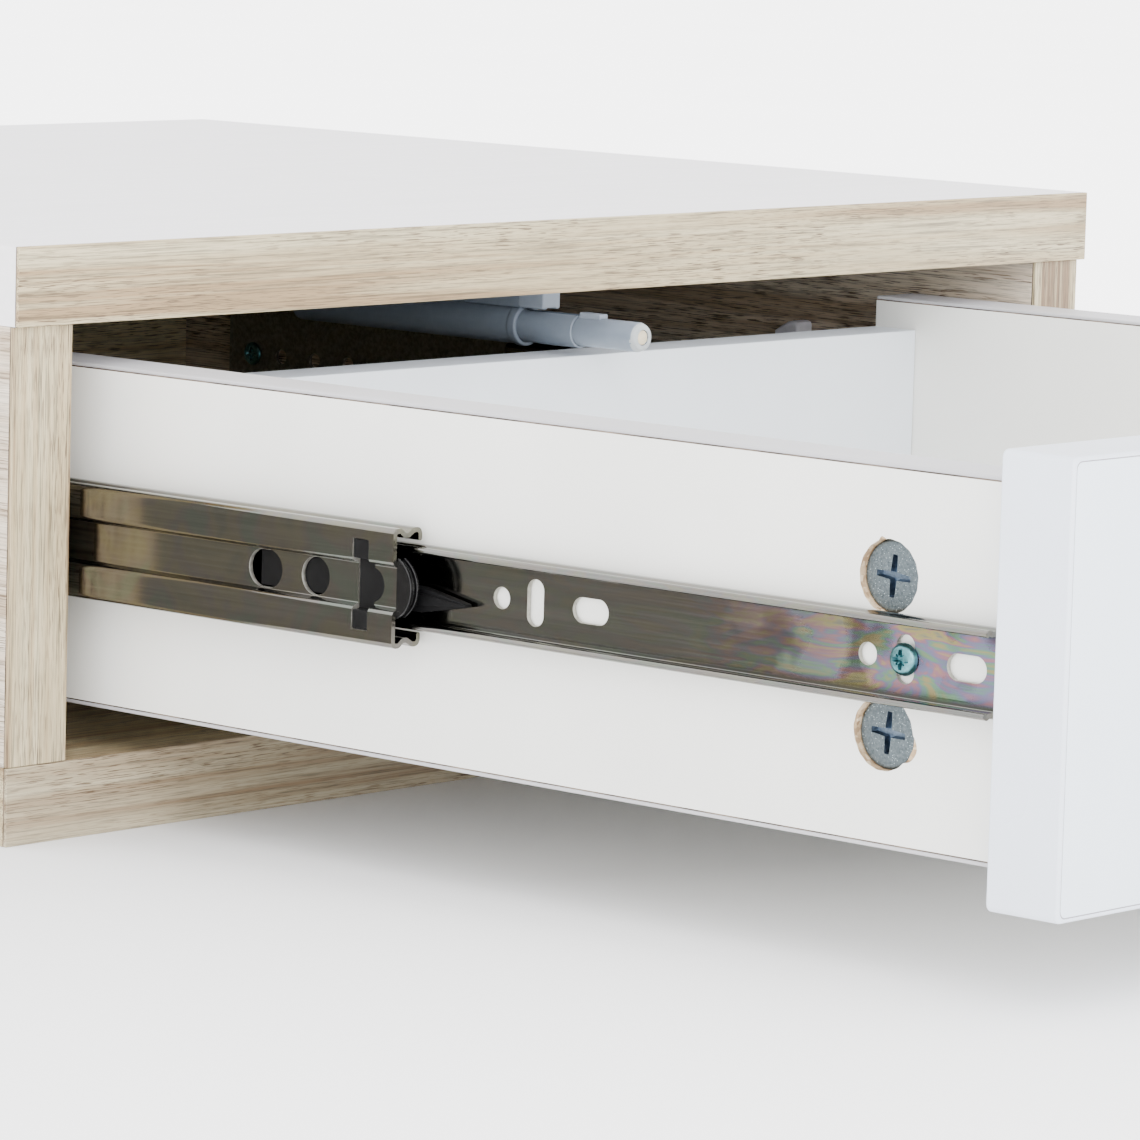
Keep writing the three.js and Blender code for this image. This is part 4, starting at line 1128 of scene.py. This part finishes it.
def build_front():
    """The drawer front: a faced core, a glue line, and an edge band all round."""
    front, rear = span("drawer_front")

    def add(name, shape, material, replaces=()):
        piece(name, shape, "drawer", [material], replaces=replaces)

    core = front_plate(BAND + GLUE, front, rear, 0.06)
    add("front_core", core, FRONT_WHITE, replaces=["drawer_front"])
    glue = front_plate(BAND, front + 0.08, rear - 0.08, 0.0)
    hollow = front_plate(BAND + GLUE, front - 1, rear + 1, 0.0)
    add("front_glue_line", carve(glue, hollow), FRONT_SEAM)
    rings = [(front + FRONT_SOFT * share, -FRONT_SOFT * grow) for share, grow in quarter_round()]
    rings += [(rear - (y - front), inset) for y, inset in reversed(rings)]
    inner = front_plate(BAND, front - 1, rear + 1, 0.0)
    add("front_edge_band", carve(front_loft(rings), inner), BAND_WHITE)


def build_drawer():
    build_front()
    for side in SIDES:
        name, faces = f"drawer_{side}_side", [SIDE_WHITE, CHIPBOARD]
        banded_board(name, "drawer", faces, ["+z", "-z"], SIDE_EDGE_SHADE_GREY, 0.35, side_cuts(side))
    plain_board("back_of_drawer", "drawer_back", "drawer", BACK_WHITE, 0.3)
    plain_board("base_sheet", "drawer_bottom", "drawer", BASE_WHITE, 0.15, 2)
    for side in SIDES:
        for where, z in CAM_Z.items():
            cam = cam_lock(z)
            if side == "right":
                cam.through(mirrored)
            metals, replaced = [CAM_ZINC, CAM_RECESS_STEEL], [f"{side}_{where}_cam_lock"]
            piece(f"{side}_{where}_cam", cam, "drawer", metals, replaces=replaced)


# ---- touch latch ------------------------------------------------------------------------------

def on_latch(profile, sides=48):
    """A body lathed about the latch's axis."""
    return turned(profile, "y", (LATCH_X, LATCH_Z), sides)


def latch_block(half, ends, heights, round_off, segments=3):
    """A block about the latch's upright middle plane, its heights taken from the latch's axis."""
    low = (LATCH_X - half, ends[0], LATCH_Z + heights[0])
    high = (LATCH_X + half, ends[1], LATCH_Z + heights[1])
    return rounded_box(low, high, round_off, segments)


def latch_holder():
    """The adapter: a tube with a raised rim, hung by a web from a screw plate, and its foot."""
    near, far = ADAPTER_SPAN
    mouth, bore, radius = SLEEVE_RADIUS + 0.2, SLEEVE_RADIUS + LATCH_PLAY, 4.9
    rim = [(0, mouth), (0, 5.0), (0.15, 5.2), (0.5, 5.3), (2.2, 5.3), (2.8, 5.1), (3.2, radius)]
    profile = [(near + along, r) for along, r in rim]
    profile += [(far - 0.6, radius), (far, 4.4), (far, mouth)]
    hollow = on_latch([(near - 1, bore), (far - 3, bore)])
    channel = latch_block(RIB_CHANNEL_HALF, (near - 9, CHANNEL_REAR), (2, 5.05), 0)
    tube = carve(carve(on_latch(profile), hollow), channel)
    top = OPENING_HEIGHT - 0.15 - LATCH_Z
    web = latch_block(STEM_HALF, ADAPTER_SPAN, (STEM_LOW, top), 0.2, 2)
    foot = latch_block(STEM_HALF, (near - FOOT_LENGTH, near + 1), (STEM_LOW, top), 0.6)
    plate = latch_block(PLATE_HALF, ADAPTER_SPAN, (top - PLATE_THICKNESS, top), 0.5)
    return tube.add(carve(web, channel)).add(plate).add(carve(foot, channel).marked(1))


def latch_tube():
    """The sleeve in the adapter, slotted above for the plunger's rib."""
    front, rear = SLEEVE_FRONT, span("latch_sleeve")[1]
    mouth, bore = PLUNGER_RADIUS + 0.18, PLUNGER_RADIUS + LATCH_PLAY
    profile = [
        (front, mouth),
        (front, SLEEVE_RADIUS - 0.2),
        (front + 0.2, SLEEVE_RADIUS),
        (rear - 0.3, SLEEVE_RADIUS),
        (rear, SLEEVE_RADIUS - 0.3),
        (rear, mouth),
    ]
    hollow = on_latch([(front - 1, bore), (rear - 3, bore)])
    slot = latch_block(RIB_CHANNEL_HALF, (front - 1, CHANNEL_REAR), (2, 6), 0)
    return carve(carve(on_latch(profile), hollow), slot)


def latch_pin():
    """The plunger: a rounded tip with the pad's seat, and a rib on its top."""
    tip, rear = span("latch_plunger")
    nose = [(0, PAD_RADIUS), (0, 2.9), (0.12, 3.15), (0.45, 3.35), (1.0, 3.55), (1.4, PLUNGER_RADIUS)]
    profile = [(tip + along, r) for along, r in nose]
    profile += [(rear - 0.3, PLUNGER_RADIUS), (rear, 3.4), (rear, PAD_RADIUS)]
    seat = on_latch([(tip - 1, PAD_RADIUS), (tip + 3.1, PAD_RADIUS)], 40)
    pin = carve(on_latch(profile, 56), seat)
    for k, face in enumerate(pin.faces):
        centre = sum((pin.points[i] for i in face), Vector()) / len(face)
        pin.marks[k] = 1 if centre.y < tip + TIP_LENGTH else 0
    rib = latch_block(RIB_HALF, RIB_SPAN, RIB_HEIGHTS, 0.35)
    return pin.add(rib.marked(2))


def build_latch():
    def add(name, shape, body, slot, materials, node):
        piece(name, shape, body, materials, replaces=[node])

    add("latch_holder", latch_holder(), "housing", "grey_plastic", [GREY, PALE_GREY], "latch_adapter")
    add("latch_tube", latch_tube(), "housing", "grey_plastic", [GREY], "latch_sleeve")
    greys = [GREY, PLUNGER_TIP, PALE_GREY]
    add("latch_pin", latch_pin(), "latch_plunger", "grey_plastic", greys, "latch_plunger")
    front, rear = span("latch_magnet_pad")
    dome = [(front, 1.2), (front, 1.5), (front + 0.15, 1.8), (front + 0.4, 1.88), (rear, 1.88)]
    pad = on_latch(dome, 36)
    add("latch_pad", pad, "latch_plunger", "magnet_pad", [PAD], "latch_magnet_pad")
    for end in ("front", "rear"):
        node = f"latch_{end}_screw"
        x, y, seat = middle_of(node, "x"), middle_of(node), span(node, "z")[0] + PAN_HEAD
        screw = headed_screw(PAN_HEAD, 14).through(lambda p: (x + p[2], y + p[1], seat + p[0]))
        add(f"latch_{end}_pan_screw", screw, "housing", "zinc_steel", [SCREW_ZINC], node)


# ---- CAD nodes that stay ----------------------------------------------------------------------


def finish_carried_nodes():
    """Gives each CAD node that is still shown its own material."""
    by_ending = {"_dowel": BEECH, "_cam_bolt": SCREW_ZINC, "_back_screw": SCREW_ZINC}
    for name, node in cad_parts.items():
        for ending, material in by_ending.items():
            if name.endswith(ending):
                node.data.materials.clear()
                node.data.materials.append(material)


# ---- room, light and camera -------------------------------------------------------------------


def stage_sheet(name, corners, paint):
    """A flat sheet that stands for the room and isn't part of the object."""
    mesh = bpy.data.meshes.new(name)
    mesh.from_pydata(corners, [], [(0, 1, 2, 3)])
    mesh.materials.append(paint.material)
    sheet = bpy.data.objects.new(name, mesh)
    bpy.context.scene.collection.objects.link(sheet)
    return sheet


def build_floor():
    paint = Paint("floor_paint", roughness=0.9)
    cloud = paint.noise(paint.place, 0.004, 2.0)
    paint.set("Base Color", paint.tints(cloud, (0.3, (238, 238, 238)), (0.7, (243, 243, 243))))
    distance = paint.node("ShaderNodeVectorMath", {0: paint.place}, operation="LENGTH").outputs["Value"]
    paint.set("Emission Color", (1.0, 1.0, 1.0))
    paint.set("Emission Strength", paint.mapped(distance, *GLOW_RANGE, 0.0, FLOOR_GLOW))
    reach = 9.0
    corners = [(-reach, -reach, 0), (reach, -reach, 0), (reach, reach, 0), (-reach, reach, 0)]
    stage_sheet("floor", corners, paint)


def build_dark_card():
    """A dark card beside the object, seen only in reflections: the next compartment's shade."""
    paint = Paint("dark_card_paint", roughness=0.9)
    paint.set("Base Color", colour(110, 107, 101))
    left, right, back = -0.62, ORIGIN.x * MM - 0.018, (ORIGIN.y + 4) * MM
    low, high = 0.001, 0.117
    corners = [(left, back, low), (right, back, low), (right, back, high), (left, back, high)]
    card = stage_sheet("dark_card", corners, paint)
    card.visible_camera = False
    card.visible_diffuse = False
    card.visible_shadow = False
    card.visible_transmission = False


def build_world():
    """A plain soft room, brightest above and greyer below."""
    world = bpy.data.worlds.new("soft_room")
    world.use_nodes = True
    bpy.context.scene.world = world
    tree = world.node_tree
    coordinates = tree.nodes.new("ShaderNodeTexCoord")
    split = tree.nodes.new("ShaderNodeSeparateXYZ")
    height = tree.nodes.new("ShaderNodeMapRange")
    ramp = tree.nodes.new("ShaderNodeValToRGB")
    tree.links.new(coordinates.outputs["Generated"], split.inputs["Vector"])
    tree.links.new(split.outputs["Z"], height.inputs["Value"])
    height.inputs["From Min"].default_value = -1.0
    tree.links.new(height.outputs["Result"], ramp.inputs["Fac"])
    elements = ramp.color_ramp.elements
    for position in (0.47, 0.54):
        elements.new(position)
    for element, grey in zip(elements, (0.5, 0.6, 0.8, 1.0)):
        element.color = (grey, grey, grey * 1.01, 1)
    background = tree.nodes["Background"]
    tree.links.new(ramp.outputs["Color"], background.inputs["Color"])
    background.inputs["Strength"].default_value = WORLD_STRENGTH


def build_lamp(name, place, target, size, power):
    data = bpy.data.lights.new(name, "AREA")
    data.shape = "SQUARE"
    data.size = size
    data.energy = power
    lamp = bpy.data.objects.new(name, data)
    bpy.context.scene.collection.objects.link(lamp)
    lamp.location = place
    lamp.rotation_euler = (Vector(target) - Vector(place)).to_track_quat("-Z", "Y").to_euler()


def build_camera():
    data = bpy.data.cameras.new("camera")
    data.lens = 190.07
    data.sensor_width = 36.0
    data.clip_start = 0.05
    data.clip_end = 60.0
    camera = bpy.data.objects.new("camera", data)
    bpy.context.scene.collection.objects.link(camera)
    right = Vector((0.6759573, -0.73643344, 0.02734074))
    up = Vector((0.07726241, 0.10771585, 0.99117497))
    back = -Vector((0.73287942, 0.66787955, -0.12970994))
    turn = Matrix((right, up, back)).transposed().to_4x4()
    camera.matrix_world = Matrix.Translation((-1.09237513, -1.15939367, 0.24062989)) @ turn
    bpy.context.scene.camera = camera


build_compartment()
build_drawer()
for slide_side in SIDES:
    build_slide(slide_side)
build_latch()
finish_carried_nodes()
build_floor()
build_dark_card()
build_world()
build_lamp("key", (-1.6, -1.9, 2.1), (0, -0.2, 0.05), 1.6, KEY_POWER)
build_lamp("fill", (-0.9, -1.6, 0.4), (0.05, 0, 0.06), 0.9, FILL_POWER)
build_camera()
